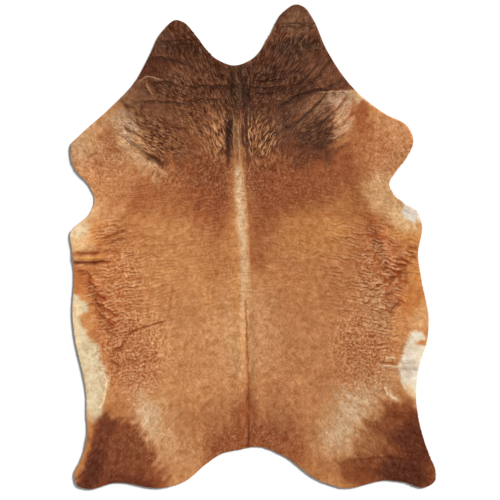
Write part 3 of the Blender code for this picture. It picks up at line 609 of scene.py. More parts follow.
def strands(seed, grain, reach, steps=10):  # noise drawn out along the hair
    noise = lumps(seed, grain)
    total = np.zeros(gridX.shape)
    for way in (1, -1):
        x = gridX.copy()
        y = gridY.copy()
        for step in range(steps):
            u, v = hairDirection(x, y)
            x = x + way * u * reach / steps
            y = y + way * v * reach / steps
            total += reading(noise, x, y) * (1 - (step / steps) ** 2)
    return (total - total.mean()) / total.std()


def roundedOutline(points, times=2, cut=0.25):
    for _ in range(times):
        rounded = []
        for (ax, ay), (bx, by) in zip(points, points[1:] + points[:1]):
            for share in (cut, 1 - cut):
                rounded.append((ax * (1 - share) + bx * share, ay * (1 - share) + by * share))
        points = rounded
    return points


def windowAround(points, reach):  # the part of the grid that lies near these points
    window = []
    for axis, start in ((1, gridY[0, 0]), (0, gridX[0, 0])):
        values = [p[axis] for p in points]
        first = max(0, int((min(values) - reach - start) / fieldGrid["cell"]))
        last = int((max(values) + reach - start) / fieldGrid["cell"]) + 2
        window.append(slice(first, max(first + 1, last)))
    return tuple(window)


def distanceTo(points, x, y, closed=False):  # metres, and for a closed outline minus outside
    nearest = np.full(x.shape, np.inf)
    inside = np.zeros(x.shape, bool)
    ends = points[1:] + points[:1] if closed else points[1:]
    for (ax, ay), (bx, by) in zip(points, ends):
        dx = bx - ax
        dy = by - ay
        t = np.clip(((x - ax) * dx + (y - ay) * dy) / (dx * dx + dy * dy + 1e-12), 0, 1)
        nearest = np.minimum(nearest, np.hypot(x - ax - t * dx, y - ay - t * dy))
        if closed and ay != by:
            inside ^= ((ay > y) != (by > y)) & (x < (bx - ax) * (y - ay) / (by - ay) + ax)
    if closed:
        return np.where(inside, nearest, -nearest)
    return nearest


zoneColumn = {"strength": 6, "dark": 6, "light": 7, "length": 8}


def zoneField(zones, which):  # the strongest zone at each place, flat in its middle
    total = np.zeros(gridX.shape)
    for row in zones:
        cx, cy, halfWide, halfHigh, tilt = row[1:6]
        c = math.cos(math.radians(tilt))
        s = math.sin(math.radians(tilt))
        dx = gridX * 100 - cx
        dy = gridY * 100 - cy
        along = (dx * c + dy * s) / halfWide
        across = (dy * c - dx * s) / halfHigh
        near = np.exp(-(along * along + across * across) ** 1.5)
        total = np.maximum(total, near * row[zoneColumn[which]])
    return total


coat = {
    "tuft": (0.005, 0.05),  # grain of the hair tips and reach along the hair, in metres
    "raggedGrain": 0.010,
    "ragged": 0.4,  # share of a patch's reach that goes any way
    "mottleGrain": 0.007,
    "cloudGrain": 0.025,
    "mottle": 0.03,
    "cloud": 0.02,
    "mottleHue": (0.75, 1.05, 1.35),  # red, green and blue
    "strokeStray": 0.0025,  # metres
    "strokeFade": 0.7,  # share of a stroke that is painted, the rest is in its own locks
    "strokeClear": 0.9,  # how far a stroke keeps the fine marks away, and how much wider than itself
    "clearWidth": 1.3,
    "grooveEdge": 0.002,
    "screenRange": (4, 250),
    "hairLength": 0.013,  # metres on the body
    "lengthVaries": 0.12,
    "lengthGrain": 0.01,
    "shortest": 0.004,
    "tipOver": 0.002,  # metres that hair may pass the cut edge
    "groundShade": 0.88,  # the skin between the locks
    "gain": (1.13, 1.09, 1.03),  # makes up for the shade between the locks
}


def paintCoat():
    tufts = strands(4, *coat["tuft"])
    mottle = lumps(5, coat["mottleGrain"])
    cloud = lumps(7, coat["cloudGrain"])
    ragged = lumps(8, coat["raggedGrain"])
    u, v = hairDirection(gridX, gridY)
    colours = {name: np.array(value, float) for name, value in hairColours.items()}
    colour = np.empty(gridX.shape + (3,))
    colour[:] = colours["caramel"]
    for name, hue, strength, soft, furry, outline in coatPatches:
        outline = roundedOutline([(x * cm, y * cm) for x, y in outline])
        w = windowAround(outline, (soft + 3 * furry) * cm)
        x = gridX[w] + (u[w] * tufts[w] + coat["ragged"] * ragged[w]) * furry * cm
        y = gridY[w] + (v[w] * tufts[w] + coat["ragged"] * mottle[w]) * furry * cm
        mask = ease(-soft * cm, soft * cm, distanceTo(outline, x, y, closed=True)) * strength
        colour[w] += (colours[hue] - colour[w]) * mask[..., None]
    mixed = coat["mottle"] * mottle + coat["cloud"] * cloud
    colour *= 1 + mixed[..., None] * np.array(coat["mottleHue"])
    relief = np.zeros(gridX.shape)
    clear = np.ones(gridX.shape)
    for name, hue, strength, half, depth, route in coatStrokes:
        route = [(x * cm, y * cm) for x, y in route]
        half = half * cm
        w = windowAround(route, 3 * half + cm)
        x = gridX[w] + coat["strokeStray"] * mottle[w]
        y = gridY[w] + coat["strokeStray"] * ragged[w]
        near = distanceTo(route, x, y)
        mask = strength * coat["strokeFade"] * np.exp(-((near / half) ** 2))
        colour[w] += (colours[hue] - colour[w]) * mask[..., None]
        covered = coat["strokeClear"] * strength * np.exp(-((near / (half * coat["clearWidth"])) ** 4))
        clear[w] = np.minimum(clear[w], 1 - covered)
        relief[w] -= depth * mm * np.exp(-((near / (half + coat["grooveEdge"])) ** 2))
    return np.clip(colour, *coat["screenRange"]), relief, clear


hairColour, grooves, markClear = paintCoat()
darkStrands = zoneField(strandZones, "dark") * markClear
lightStrands = zoneField(strandZones, "light") * markClear
wrinkles = zoneField(wrinkleZones, "strength") * markClear
blotches = zoneField(blotchZones, "strength") * markClear
neckShare = ease(combing["neckStart"][0] + combing["strandLag"], combing["neckStart"][1], gridY)
shoulderShare = neckShare * ease(*combing["shoulderSide"], np.abs(gridX - combing["spine"]))
shoulderShare = shoulderShare * (1 - ease(*combing["shoulderEnd"], gridY))
print("coat painted,", gridX.shape[1], "by", gridX.shape[0], "cells")


def toLinear(screen):  # 0-255 screen values to the renderer's linear ones
    value = screen / 255
    return np.where(value <= 0.04045, value / 12.92, ((value + 0.055) / 1.055) ** 2.4)


# the hide's own shape, read from the CAD node
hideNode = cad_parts["hide"]


def mergedCopy(node):
    shape = bmesh.new()
    shape.from_mesh(node.data)
    bmesh.ops.remove_doubles(shape, verts=shape.verts, dist=0.00001)
    shape.normal_update()
    return shape


def rimOf(shape, level=0.6):  # the cut edge as one loop, counter-clockwise
    beside = {}
    for edge in shape.edges:
        if len(edge.link_faces) != 2:
            continue
        rises = sorted(face.normal.z for face in edge.link_faces)
        if rises[1] > level and -level < rises[0] < level:  # from a lying face to a standing one
            a, b = edge.verts
            beside.setdefault(a.index, []).append(b.index)
            beside.setdefault(b.index, []).append(a.index)
    shape.verts.ensure_lookup_table()
    start = next(iter(beside))
    loop = [start]
    last = None
    while True:
        onward = [i for i in beside[loop[-1]] if i != last]
        last = loop[-1]
        if not onward or onward[0] == start:
            break
        loop.append(onward[0])
    points = [(shape.verts[i].co.x, shape.verts[i].co.y) for i in loop]
    area = sum(ax * by - bx * ay for (ax, ay), (bx, by) in zip(points, points[1:] + points[:1]))
    if area < 0:
        points.reverse()
    return points


def smoothRim(points, step, parts=8):  # the same loop with closer points on a smooth curve
    p = np.array(points)
    a, b, c, d = np.roll(p, 1, 0), p, np.roll(p, -1, 0), np.roll(p, -2, 0)
    curve = []
    for t in np.linspace(0, 1, parts, endpoint=False):
        curve.append(0.5 * (2 * b + (c - a) * t + (2 * a - 5 * b + 4 * c - d) * t**2
                            + (3 * b - a - 3 * c + d) * t**3))
    curve = np.stack(curve, 1).reshape(-1, 2)
    length = np.hypot(*(np.roll(curve, -1, 0) - curve).T)
    run = np.concatenate([[0], np.cumsum(length)])
    count = int(run[-1] / step)
    places = np.linspace(0, run[-1], count, endpoint=False)
    looped = np.vstack([curve, curve[:1]])
    return [(float(np.interp(s, run, looped[:, 0])), float(np.interp(s, run, looped[:, 1]))) for s in places]


skinShape = {
    "rimStep": 0.008,
    "rimReach": 0.08,  # metres from the cut edge that are measured
    "topStep": 0.0085,
    "topClear": 0.0055,  # metres that the net's inner points stay off the rim
    "bottomStep": 0.026,
    "bottomClear": 0.014,
    "rowRise": 0.866,  # share of a step from row to row, for even triangles
    "jitter": 0.18,
    "sheet": 0.004,  # thickness of the CAD sheet, and the part of it left for the hair
    "hairLayer": 0.0013,
    "thinnest": 0.0009,
    "facetBlur": 0.009,
    "ruffle": 0.0002,  # metres everywhere, and more under strands and wrinkles
    "strandRuffle": 0.0006,
    "wrinkleRuffle": 0.0005,
    "ruffleGrain": (0.004, 0.03),
    "lumpGrain": 0.012,
    "ruffleMix": 0.6,
    "mapStrip": 0.008,  # width of the cut edge's strip in the baked map, and the map's margin
    "mapMargin": 0.01,
}

hideCopy = mergedCopy(hideNode)
rimLoop = smoothRim(rimOf(hideCopy), skinShape["rimStep"])
print("cut edge read,", len(rimLoop), "points")


def rimDistanceField(rim):
    inside = np.zeros(gridX.shape, bool)
    nearest = np.full(gridX.shape, skinShape["rimReach"])
    for (ax, ay), (bx, by) in zip(rim, rim[1:] + rim[:1]):
        if ay != by:
            rows = (ay > gridY[:, 0]) != (by > gridY[:, 0])
            crossing = (bx - ax) * (gridY[rows, 0] - ay) / (by - ay) + ax
            inside[rows] ^= gridX[rows] < crossing[:, None]
        ends = [(ax, ay), (bx, by)]
        w = windowAround(ends, skinShape["rimReach"])
        nearest[w] = np.minimum(nearest[w], distanceTo(ends, gridX[w], gridY[w]))
    return np.where(inside, nearest, -nearest)


rimDistance = rimDistanceField(rimLoop)


def topOfHide(shape):  # the height of the solid's upper face, without its facets
    tree = BVHTree.FromBMesh(shape)
    height = np.zeros(gridX.shape)
    known = np.zeros(gridX.shape)
    down = Vector((0, 0, -1))
    for row in range(0, gridX.shape[0], 2):
        for column in range(0, gridX.shape[1], 2):
            if rimDistance[row, column] < mm:
                continue
            hit = tree.ray_cast(Vector((gridX[row, column], gridY[row, column], 0.2)), down)[0]
            if hit is not None:
                height[row, column] = hit.z
                known[row, column] = 1
    soft = skinShape["facetBlur"]
    return blurred(height, soft) / np.maximum(blurred(known, soft), 1e-4)


cadTop = topOfHide(hideCopy)
hideCopy.free()
print("upper face read, highest", round(float(cadTop[rimDistance > 0].max()), 4))


def wrinkleField():
    fine = strands(9, *skinShape["ruffleGrain"])
    lump = lumps(10, skinShape["lumpGrain"])
    height = skinShape["ruffle"] + skinShape["strandRuffle"] * darkStrands
    height = height + skinShape["wrinkleRuffle"] * wrinkles
    return height * (skinShape["ruffleMix"] * fine + skinShape["ruffleMix"] * lump)


skinTop = cadTop - skinShape["hairLayer"] + grooves + wrinkleField()
skinTop = np.maximum(skinTop, skinShape["thinnest"])
skinBottom = np.maximum(cadTop - skinShape["sheet"], 0.0)


def pointsInside(step, clear):  # staggered rows of points that stay off the rim
    random = np.random.default_rng(fieldGrid["seed"])
    found = []
    rise = skinShape["rowRise"]
    for row in range(int((gridY[-1, 0] - gridY[0, 0]) / (step * rise))):
        y = gridY[0, 0] + row * step * rise
        x = np.arange(gridX[0, 0] + (row % 2) * step / 2, gridX[0, -1], step)
        jitter = random.uniform(-skinShape["jitter"], skinShape["jitter"], (2, len(x))) * step
        x = x + jitter[0]
        ys = np.full(len(x), y) + jitter[1]
        keep = reading(rimDistance, x, ys) > clear
        found.append(np.stack([x[keep], ys[keep]], 1))
    return np.concatenate(found)


def netInside(rim, inner):  # triangles over the rim and the points inside it
    points = [Vector(p) for p in rim] + [Vector(p) for p in inner.tolist()]
    edges = [(i, (i + 1) % len(rim)) for i in range(len(rim))]
    found = delaunay_2d_cdt(points, edges, [], 0, 1e-7)
    places = np.array([tuple(p) for p in found[0]])
    faces = np.array([face for face in found[2] if len(face) == 3])
    middle = places[faces].mean(1)
    faces = faces[reading(rimDistance, middle[:, 0], middle[:, 1]) > 0.0]
    order = np.array([min(o) if o else -1 for o in found[3]])
    placeOf = np.full(len(points), -1)
    placeOf[order[order >= 0]] = np.nonzero(order >= 0)[0]
    return places, faces, placeOf[: len(rim)]


def turnedUp(places, faces):  # faces wound so that they face up
    a, b, c = (places[faces[:, i]] for i in range(3))
    cross = (b[:, 0] - a[:, 0]) * (c[:, 1] - a[:, 1]) - (b[:, 1] - a[:, 1]) * (c[:, 0] - a[:, 0])
    flip = cross < 0
    faces[flip] = faces[flip][:, ::-1]
    return faces


def skinFace(step, clear, height):  # corners, triangles and the rim's corners of one face
    places, faces, rim = netInside(rimLoop, pointsInside(step, clear))
    corners = np.column_stack([places, reading(height, places[:, 0], places[:, 1])])
    return corners, turnedUp(places, faces), rim


def addObject(name, data):
    obj = bpy.data.objects.new(name, data)
    bpy.context.scene.collection.objects.link(obj)
    return obj


def makeSkin():
    top, topFaces, topRim = skinFace(skinShape["topStep"], skinShape["topClear"], skinTop)
    low, lowFaces, lowRim = skinFace(skinShape["bottomStep"], skinShape["bottomClear"], skinBottom)
    walls = []
    for i in range(len(rimLoop)):
        j = (i + 1) % len(rimLoop)
        a, b = topRim[i], topRim[j]
        c, d = lowRim[j] + len(top), lowRim[i] + len(top)
        walls += [(a, d, c), (a, c, b)]
    faces = np.concatenate([topFaces, lowFaces[:, ::-1] + len(top), np.array(walls)])
    mesh = bpy.data.meshes.new("skin")
    mesh.from_pydata(np.concatenate([top, low]).tolist(), [], faces.tolist())
    mesh.update()
    mesh.polygons.foreach_set("use_smooth", np.ones(len(faces), bool))
    sideOf = np.zeros(len(faces), np.int32)
    sideOf[len(topFaces):] = 1
    mesh.attributes.new("hairSide", "BOOLEAN", "FACE").data.foreach_set("value", sideOf == 0)
    return addObject("skin", mesh), sideOf, len(top)


skin, skinSides, topCount = makeSkin()
print("skin made,", len(skin.data.polygons), "triangles")


def pointsOf(mesh):
    flat = np.empty(len(mesh.vertices) * 3)
    mesh.vertices.foreach_get("co", flat)
    return flat.reshape(-1, 3)


def cornersOf(mesh):
    corners = np.empty(len(mesh.loops), np.int32)
    mesh.loops.foreach_get("vertex_index", corners)
    return corners


def allowedLength(x, y, wanted, over):  # how long hair may be before it passes the cut edge
    u, v = hairDirection(x, y)
    allowed = np.zeros(x.shape)
    going = np.ones(x.shape, bool)
    for share in np.linspace(0.1, 1, 10):
        tip = reading(rimDistance, x + u * wanted * share, y + v * wanted * share)
        going &= tip > -over
        allowed = np.where(going, wanted * share, allowed)
    return np.maximum(allowed, coat["shortest"])


def setColour(mesh, name, values):  # up to three columns of a point colour
    rows = np.ones((len(mesh.vertices), 4), np.float32)
    for column, part in enumerate(values):
        rows[:, column] = part
    mesh.color_attributes.new(name, "FLOAT_COLOR", "POINT").data.foreach_set("color", rows.ravel())


def setHairColour(mesh, screen):
    setColour(mesh, "hairColor", np.clip(toLinear(screen) * coat["gain"], 0, 0.92).T)


def setMarks(mesh, x, y, share):  # how much of each fine marking the shader draws there
    strandMarks = darkStrands * share, lightStrands * share, wrinkles * share
    placeMarks = blotches * share, neckShare, shoulderShare
    for name, fields in (("marksA", strandMarks), ("marksB", placeMarks)):
        setColour(mesh, name, [reading(field, x, y) for field in fields])


def dressSkin():
    mesh = skin.data
    places = pointsOf(mesh)
    x = places[:, 0]
    y = places[:, 1]
    u, v = hairDirection(x, y)
    combed = np.column_stack([u, v, np.zeros(len(u))]).astype(np.float32)
    mesh.attributes.new("combed", "FLOAT_VECTOR", "POINT").data.foreach_set("vector", combed.ravel())
    wanted = coat["hairLength"] + reading(zoneField(strandZones, "length"), x, y) * mm
    wanted = wanted * (1 + coat["lengthVaries"] * reading(lumps(12, coat["lengthGrain"]), x, y))
    length = allowedLength(x, y, wanted, coat["tipOver"]).astype(np.float32)
    mesh.attributes.new("hairLength", "FLOAT", "POINT").data.foreach_set("value", length)
    setHairColour(mesh, reading(hairColour, x, y) * coat["groundShade"])
    setMarks(mesh, x, y, 1)
    uvs = mesh.uv_layers.new(name="OFBake")
    corners = cornersOf(mesh)
    side = np.repeat(skinSides, 3)
    flat = places[corners, :2]
    slope = np.stack(np.gradient(rimDistance, fieldGrid["cell"])[::-1], axis=-1)
    upper = (side == 1) & (corners < topCount)  # the cut edge gets a strip of its own outside the rim
    flat[upper] -= reading(slope, flat[upper, 0], flat[upper, 1]) * skinShape["mapStrip"]
    low, high = (np.array(corner)[:2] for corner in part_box("hide"))
    margin = skinShape["mapMargin"]
    flat = (flat - low + margin) / (high - low + 2 * margin)
    flat[:, 0] = np.where(side == 0, flat[:, 0] * 0.5, 1 - flat[:, 0] * 0.5)
    uvs.data.foreach_set("uv", flat.ravel())


dressSkin()


# node helpers for the shader groups, the materials and the pile
def newGroup(kind, name, inputs, outputs):
    group = bpy.data.node_groups.new(name, kind)
    for label, socketKind, value in inputs:
        socket = group.interface.new_socket(label, in_out="INPUT", socket_type="NodeSocket" + socketKind)
        if value is not None:
            socket.default_value = value
    for label, socketKind in outputs:
        group.interface.new_socket(label, in_out="OUTPUT", socket_type="NodeSocket" + socketKind)
    return group


def feed(tree, node, values):  # links, or plain values, on a node's inputs by name or number
    for key, value in values.items():
        if isinstance(value, bpy.types.NodeSocket):
            tree.links.new(value, node.inputs[key])
        else:
            node.inputs[key].default_value = value
    return node


def addNode(tree, kind, place, values=None, **settings):
    node = tree.nodes.new(kind)
    node.location = place
    for key, value in settings.items():
        setattr(node, key, value)
    return feed(tree, node, values or {})


def mapRange(tree, place, source, low, high, toLow, toHigh):
    values = {"Value": source, "From Min": low, "From Max": high, "To Min": toLow, "To Max": toHigh}
    return addNode(tree, "ShaderNodeMapRange", place, values).outputs["Result"]


def calc(tree, place, operation, *values, kind="ShaderNodeMath"):
    keys = (0, "Scale") if operation == "SCALE" else (0, 1, 2)
    return addNode(tree, kind, place, dict(zip(keys, values)), operation=operation).outputs[0]


def onVectors(tree, place, operation, *values):
    return calc(tree, place, operation, *values, kind="ShaderNodeVectorMath")


def blend(tree, place, factor, a, b):  # colour a to colour b
    return addNode(tree, "ShaderNodeMix", place, {"Factor": factor, 6: a, 7: b}, data_type="RGBA").outputs[2]


def noiseOn(tree, place, vector, scale, detail, roughness, dimensions="2D"):
    values = {"Vector": vector, "Scale": scale, "Detail": detail, "Roughness": roughness}
    return addNode(tree, "ShaderNodeTexNoise", place, values, noise_dimensions=dimensions)


def makeGrainGroup():  # fine uneven grain that lightens and darkens a colour
    group = newGroup(
        "ShaderNodeTree", "fineGrain",
        [("Colour", "Color", (0.5, 0.3, 0.2, 1)), ("Scale", "Float", 600.0), ("Contrast", "Float", 0.2),
         ("Roughness", "Float", 0.5)],
        [("Colour", "Color"), ("Height", "Float"), ("Roughness", "Float")],
    )
    given = addNode(group, "NodeGroupInput", (-900, 0)).outputs
    where = addNode(group, "ShaderNodeTexCoord", (-900, -300)).outputs["Object"]
    height = noiseOn(group, (-650, -100), where, given["Scale"], 4, 0.6, "3D").outputs["Fac"]
    centred = calc(group, (-420, -100), "SUBTRACT", height, 0.5)
    spread = calc(group, (-240, -100), "MULTIPLY", centred, given["Contrast"])
    gain = calc(group, (-60, -100), "ADD", spread, 1.0)
    tinted = onVectors(group, (140, 60), "SCALE", given["Colour"], gain)
    rougher = calc(group, (140, -260), "ADD", centred, given["Roughness"])
    addNode(group, "NodeGroupOutput", (500, 0), {"Colour": tinted, "Height": height, "Roughness": rougher})
    return group


fineGrain = makeGrainGroup()


def screenColour(name):
    return tuple(float(v) for v in toLinear(np.array(hairColours[name], float))) + (1.0,)


# the fine pattern of the hair, drawn in the hide's own metres: a grain is a turn in radians with
# bends to the metre across and along, and a range is two values with the mask at each
markings = {
    "wave": (0.007, 16.0),  # metres of stray and bends to the metre
    "ripple": (0.0035, 80.0),
    "strandGrain": {
        "body": (-0.55, (150.0, 36.0)),
        "neck": (0.45, (170.0, 26.0)),
        "shoulder": (1.05, (195.0, 36.0)),
        "spine": (0.0, (150.0, 22.0)),
    },
    "spineRange": (0.015, 0.05, 1, 0),  # metres from the parting
    "calmRange": (0.23, 0.38, 1, 0.2),  # cream hair, by its blue, is even
    "darkRange": (0.49, 0.40, 0, 1.2),
    "lightRange": (0.52, 0.62, 0, 1.2),
    "strandGlow": 1.4,  # how much lighter a light strand is than pale hair
    "creaseSpace": 0.0165,  # metres from one to the next
    "creaseFall": 0.16,  # slope down towards the flanks
    "creaseStray": ((8.0, 2.3), (26.0, 0.5)),  # bends to the metre and how far, in creases
    "creaseBreak": (0.15, (16.0, 42.0)),
    "breakRange": (0.42, 0.56, 0, 1),
    # fine creases: a dark line of painted shade with a lighter line of painted highlight beside it, as if
    # lit from one side
    "creaseShadeAndHighlight": ((0.30, 0.22, 1.7), (0.66, 0.26, 0.7)),  # middle, half width, strength: dark, light
    "blotchNoise": (80.0, 3, 0.6),  # scale, detail and roughness
    "blotchRange": (0.48, 0.60, 0, 1.2),
    "curlGrain": (0.5, (58.0, 105.0)),
    "curlLine": (0.06, 1.5),  # half width and strength
    "curlRange": (0.46, 0.56, 1, 0.15),
    "clumpGrain": (-0.40, (38.0, 95.0)),
    "clumpPlaces": (0.40, 0.85, 0, 0.75),
    "clumpDark": (0.56, 0.64, 0, 1),
    "clumpLight": (0.45, 0.36, 0, 1),
    "mottleNoise": (38.0, 5, 0.8),
    "mottle": (0.98, 1.58, 2.30),  # red, green and blue
    "mottleFloor": (0.03, 0.015, 0.008),  # so that dark hair is mottled too
}


def drawnOut(tree, place, source, turned, scale):  # noise drawn out along one direction
    x, y = place
    turn = addNode(tree, "ShaderNodeVectorRotate", place, {"Vector": source, "Angle": turned},
                   rotation_type="Z_AXIS")
    squeezed = onVectors(tree, (x + 180, y), "MULTIPLY", turn.outputs[0], (*scale, 1))
    return noiseOn(tree, (x + 360, y), squeezed, 1.0, 3, 0.6).outputs["Fac"]


def strayed(tree, place, source, amount, scale):  # the place, moved about by soft noise
    x, y = place
    noise = noiseOn(tree, place, source, scale, 2, 0.5)
    centred = onVectors(tree, (x + 180, y), "SUBTRACT", noise.outputs["Color"], (0.5, 0.5, 0.5))
    pushed = onVectors(tree, (x + 340, y), "SCALE", centred, amount * 4)
    return onVectors(tree, (x + 500, y), "ADD", source, pushed)


def thinLines(tree, place, value, half, most, middle=0.5):  # where a value crosses its middle
    x, y = place
    centred = calc(tree, place, "SUBTRACT", value, middle)
    off = calc(tree, (x + 150, y), "ABSOLUTE", centred)
    return mapRange(tree, (x + 300, y), off, 0, half, most, 0)


def towards(tree, place, a, b, share):  # a to b by a share
    x, y = place
    gap = calc(tree, place, "SUBTRACT", b, a)
    part = calc(tree, (x + 150, y), "MULTIPLY", gap, share)
    return calc(tree, (x + 300, y), "ADD", a, part)


def makeCoatPattern():  # strands, creases, blotches and mottle
    group = newGroup(
        "ShaderNodeTree", "coatPattern",
        [("Colour", "Color", (0.5, 0.3, 0.2, 1)), ("Marks A", "Color", (0, 0, 0, 1)),
         ("Marks B", "Color", (0, 0, 0, 1))],
        [("Colour", "Color"), ("Height", "Float")],
    )
    given = addNode(group, "NodeGroupInput", (-2600, 0)).outputs
    where = addNode(group, "ShaderNodeTexCoord", (-2600, -400)).outputs["Object"]
    bent = strayed(group, (-2400, -400), where, *markings["wave"])
    moved = strayed(group, (-1800, -700), bent, *markings["ripple"])
    parts = addNode(group, "ShaderNodeSeparateXYZ", (-1200, -400), {0: bent}).outputs
    side = calc(group, (-1050, -400), "SUBTRACT", parts["X"], combing["spine"])
    away = calc(group, (-900, -400), "ABSOLUTE", side)
    mirrored = addNode(group, "ShaderNodeCombineXYZ", (-750, -400), {"X": away, "Y": parts["Y"]}).outputs[0]

    marks = {}
    carried = {"Marks A": ("dark", "light", "creases"), "Marks B": ("blotches", "neck", "shoulder")}
    for label, names in carried.items():
        split = addNode(group, "ShaderNodeSeparateColor", (-2400, 100 + 100 * len(marks)), {0: given[label]})
        marks.update(zip(names, split.outputs))
    marks["clumps"] = mapRange(group, (-300, 1650), marks["creases"], *markings["clumpPlaces"])

    strand = {}
    for index, (name, grain) in enumerate(markings["strandGrain"].items()):
        source = bent if name == "spine" else mirrored
        strand[name] = drawnOut(group, (-500, -300 - 250 * index), source, *grain)
    nearSpine = mapRange(group, (-500, -1250), away, *markings["spineRange"])
    flow = towards(group, (100, -300), strand["body"], strand["neck"], marks["neck"])
    flow = towards(group, (100, -500), flow, strand["shoulder"], marks["shoulder"])
    flow = towards(group, (100, -700), flow, strand["spine"], nearSpine)
    plain = addNode(group, "ShaderNodeSeparateColor", (400, 1250), {0: given["Colour"]})
    calm = mapRange(group, (600, 1250), plain.outputs["Blue"], *markings["calmRange"])
    darker = mapRange(group, (600, -400), flow, *markings["darkRange"])
    darker = calc(group, (780, -400), "MULTIPLY", darker, calm)
    lighter = mapRange(group, (600, -650), flow, *markings["lightRange"])

    fall = calc(group, (-500, -1500), "MULTIPLY", away, markings["creaseFall"])
    phase = calc(group, (-350, -1500), "ADD", parts["Y"], fall)
    phase = calc(group, (-200, -1500), "DIVIDE", phase, markings["creaseSpace"])
    for index, (size, far) in enumerate(markings["creaseStray"]):
        bends = noiseOn(group, (-500, -1700 - 200 * index), bent, size, 1, 0.5)
        part = calc(group, (-300, -1700 - 200 * index), "MULTIPLY", bends.outputs["Fac"], far)
        phase = calc(group, (-100 + 150 * index, -1500), "ADD", phase, part)
    phase = calc(group, (200, -1500), "FRACT", phase)
    broken = drawnOut(group, (-500, -2150), mirrored, *markings["creaseBreak"])
    broken = mapRange(group, (100, -2150), broken, *markings["breakRange"])
    # each fine crease as a line of painted shade and a line of painted highlight
    creaseShading = []
    for index, (middle, half, most) in enumerate(markings["creaseShadeAndHighlight"]):
        line = thinLines(group, (350, -1500 - 200 * index), phase, half, most, middle)
        creaseShading.append(calc(group, (800, -1500 - 200 * index), "MULTIPLY", line, broken))

    rusty = noiseOn(group, (-500, 600), moved, *markings["blotchNoise"]).outputs["Fac"]
    spots = mapRange(group, (-300, 600), rusty, *markings["blotchRange"])
    curly = drawnOut(group, (-900, 850), mirrored, *markings["curlGrain"])
    curls = thinLines(group, (-300, 850), curly, *markings["curlLine"])
    between = mapRange(group, (-300, 1050), rusty, *markings["curlRange"])
    curls = calc(group, (100, 850), "MULTIPLY", curls, between)
    clump = drawnOut(group, (-900, 1250), mirrored, *markings["clumpGrain"])
    clumpDark = mapRange(group, (-300, 1250), clump, *markings["clumpDark"])
    clumpLight = mapRange(group, (-300, 1450), clump, *markings["clumpLight"])

    colour = given["Colour"]
    brighter = onVectors(group, (800, 700), "SCALE", colour, markings["strandGlow"])
    glow = onVectors(group, (980, 700), "MAXIMUM", brighter, screenColour("strandGold")[:3])
    layers = (  # mask, the zones that it shows in, most of it, colour
        (spots, "blotches", 0.95, screenColour("flankRust")),
        (curls, "blotches", 0.70, screenColour("straw")),
        # the fine creases' painted highlight, then their painted shade
        (creaseShading[1], "creases", 0.70, screenColour("straw")),
        (creaseShading[0], "creases", 0.95, screenColour("creaseRed")),
        (clumpLight, "clumps", 0.45, screenColour("straw")),
        (clumpDark, "clumps", 0.80, screenColour("flankRust")),
        (lighter, "light", 0.85, glow),
        (darker, "dark", 0.85, screenColour("black")),
    )
    for index, (mask, name, most, hue) in enumerate(layers):
        x = 800 + 180 * index
        amount = calc(group, (x, 250), "MULTIPLY", mask, marks[name])
        amount = calc(group, (x, 100), "MINIMUM", amount, most)
        colour = blend(group, (x, 400), amount, colour, hue)

    pink = noiseOn(group, (800, 1000), moved, *markings["mottleNoise"])
    centred = calc(group, (1000, 1000), "SUBTRACT", pink.outputs["Fac"], 0.5)
    centred = calc(group, (1100, 1100), "MULTIPLY", centred, calm)
    gain = onVectors(group, (1180, 1000), "SCALE", markings["mottle"], centred)
    raised = onVectors(group, (1500, 700), "ADD", colour, markings["mottleFloor"])
    tinted = onVectors(group, (1660, 600), "MULTIPLY_ADD", raised, gain, colour)
    addNode(group, "NodeGroupOutput", (2000, 0), {"Colour": tinted, "Height": flow})
    return group


coatPattern = makeCoatPattern()


def placePattern(tree, place):
    pattern = addNode(tree, "ShaderNodeGroup", place, node_tree=coatPattern)
    for name, socket in (("hairColor", "Colour"), ("marksA", "Marks A"), ("marksB", "Marks B")):
        node = addNode(tree, "ShaderNodeAttribute", (place[0] - 250, place[1]), attribute_name=name)
        feed(tree, pattern, {socket: node.outputs["Color"]})
    return pattern.outputs["Colour"]


def newMaterial(name, flat):
    material = bpy.data.materials.new(name)
    material.use_nodes = True
    material.diffuse_color = flat
    return material, material.node_tree, material.node_tree.nodes["Principled BSDF"]


def addGrain(tree, place, colour, look, shader):  # grain over a colour, on the shader
    values = {"Colour": colour, "Scale": look["grainScale"], "Contrast": look["grainContrast"],
              "Roughness": look["roughness"]}
    grain = addNode(tree, "ShaderNodeGroup", place, node_tree=fineGrain)
    feed(tree, grain, values)
    feed(tree, shader, {"Base Color": grain.outputs["Colour"], "Roughness": grain.outputs["Roughness"],
                        "Specular IOR Level": look["specular"], "Sheen Weight": look["sheen"]})
    return grain.outputs["Height"]


def addBump(tree, place, height, look, shader):
    values = {"Strength": look["bump"], "Distance": look["bumpHeight"], "Height": height}
    feed(tree, shader, {"Normal": addNode(tree, "ShaderNodeBump", place, values).outputs["Normal"]})


hairLook = {
    "grainScale": 420.0,  # per metre
    "grainContrast": 0.25,
    "roughness": 0.56,
    "specular": 0.04,
    "sheen": 0.0,
    "shade": (0, 0.8, 0.82, 1.02),  # from the root to near the tip
}


# painted shade in the pile: each lock is darker towards its root
def makeHair():  # the colour rides on each lock, darker at its root
    material, tree, shader = newMaterial("hair", (0.42, 0.19, 0.075, 1))
    dyed = placePattern(tree, (-900, 100))
    along = addNode(tree, "ShaderNodeAttribute", (-900, -200), attribute_name="along")
    shade = mapRange(tree, (-650, -200), along.outputs["Fac"], *hairLook["shade"])
    addGrain(tree, (-250, 60), onVectors(tree, (-450, 60), "SCALE", dyed, shade), hairLook, shader)
    return material


groundLook = {
    "grainScale": 700.0,
    "grainContrast": 0.5,
    "roughness": 0.75,
    "specular": 0.15,
    "sheen": 0.0,
    "bump": 0.5,
    "bumpHeight": 0.0005,
}


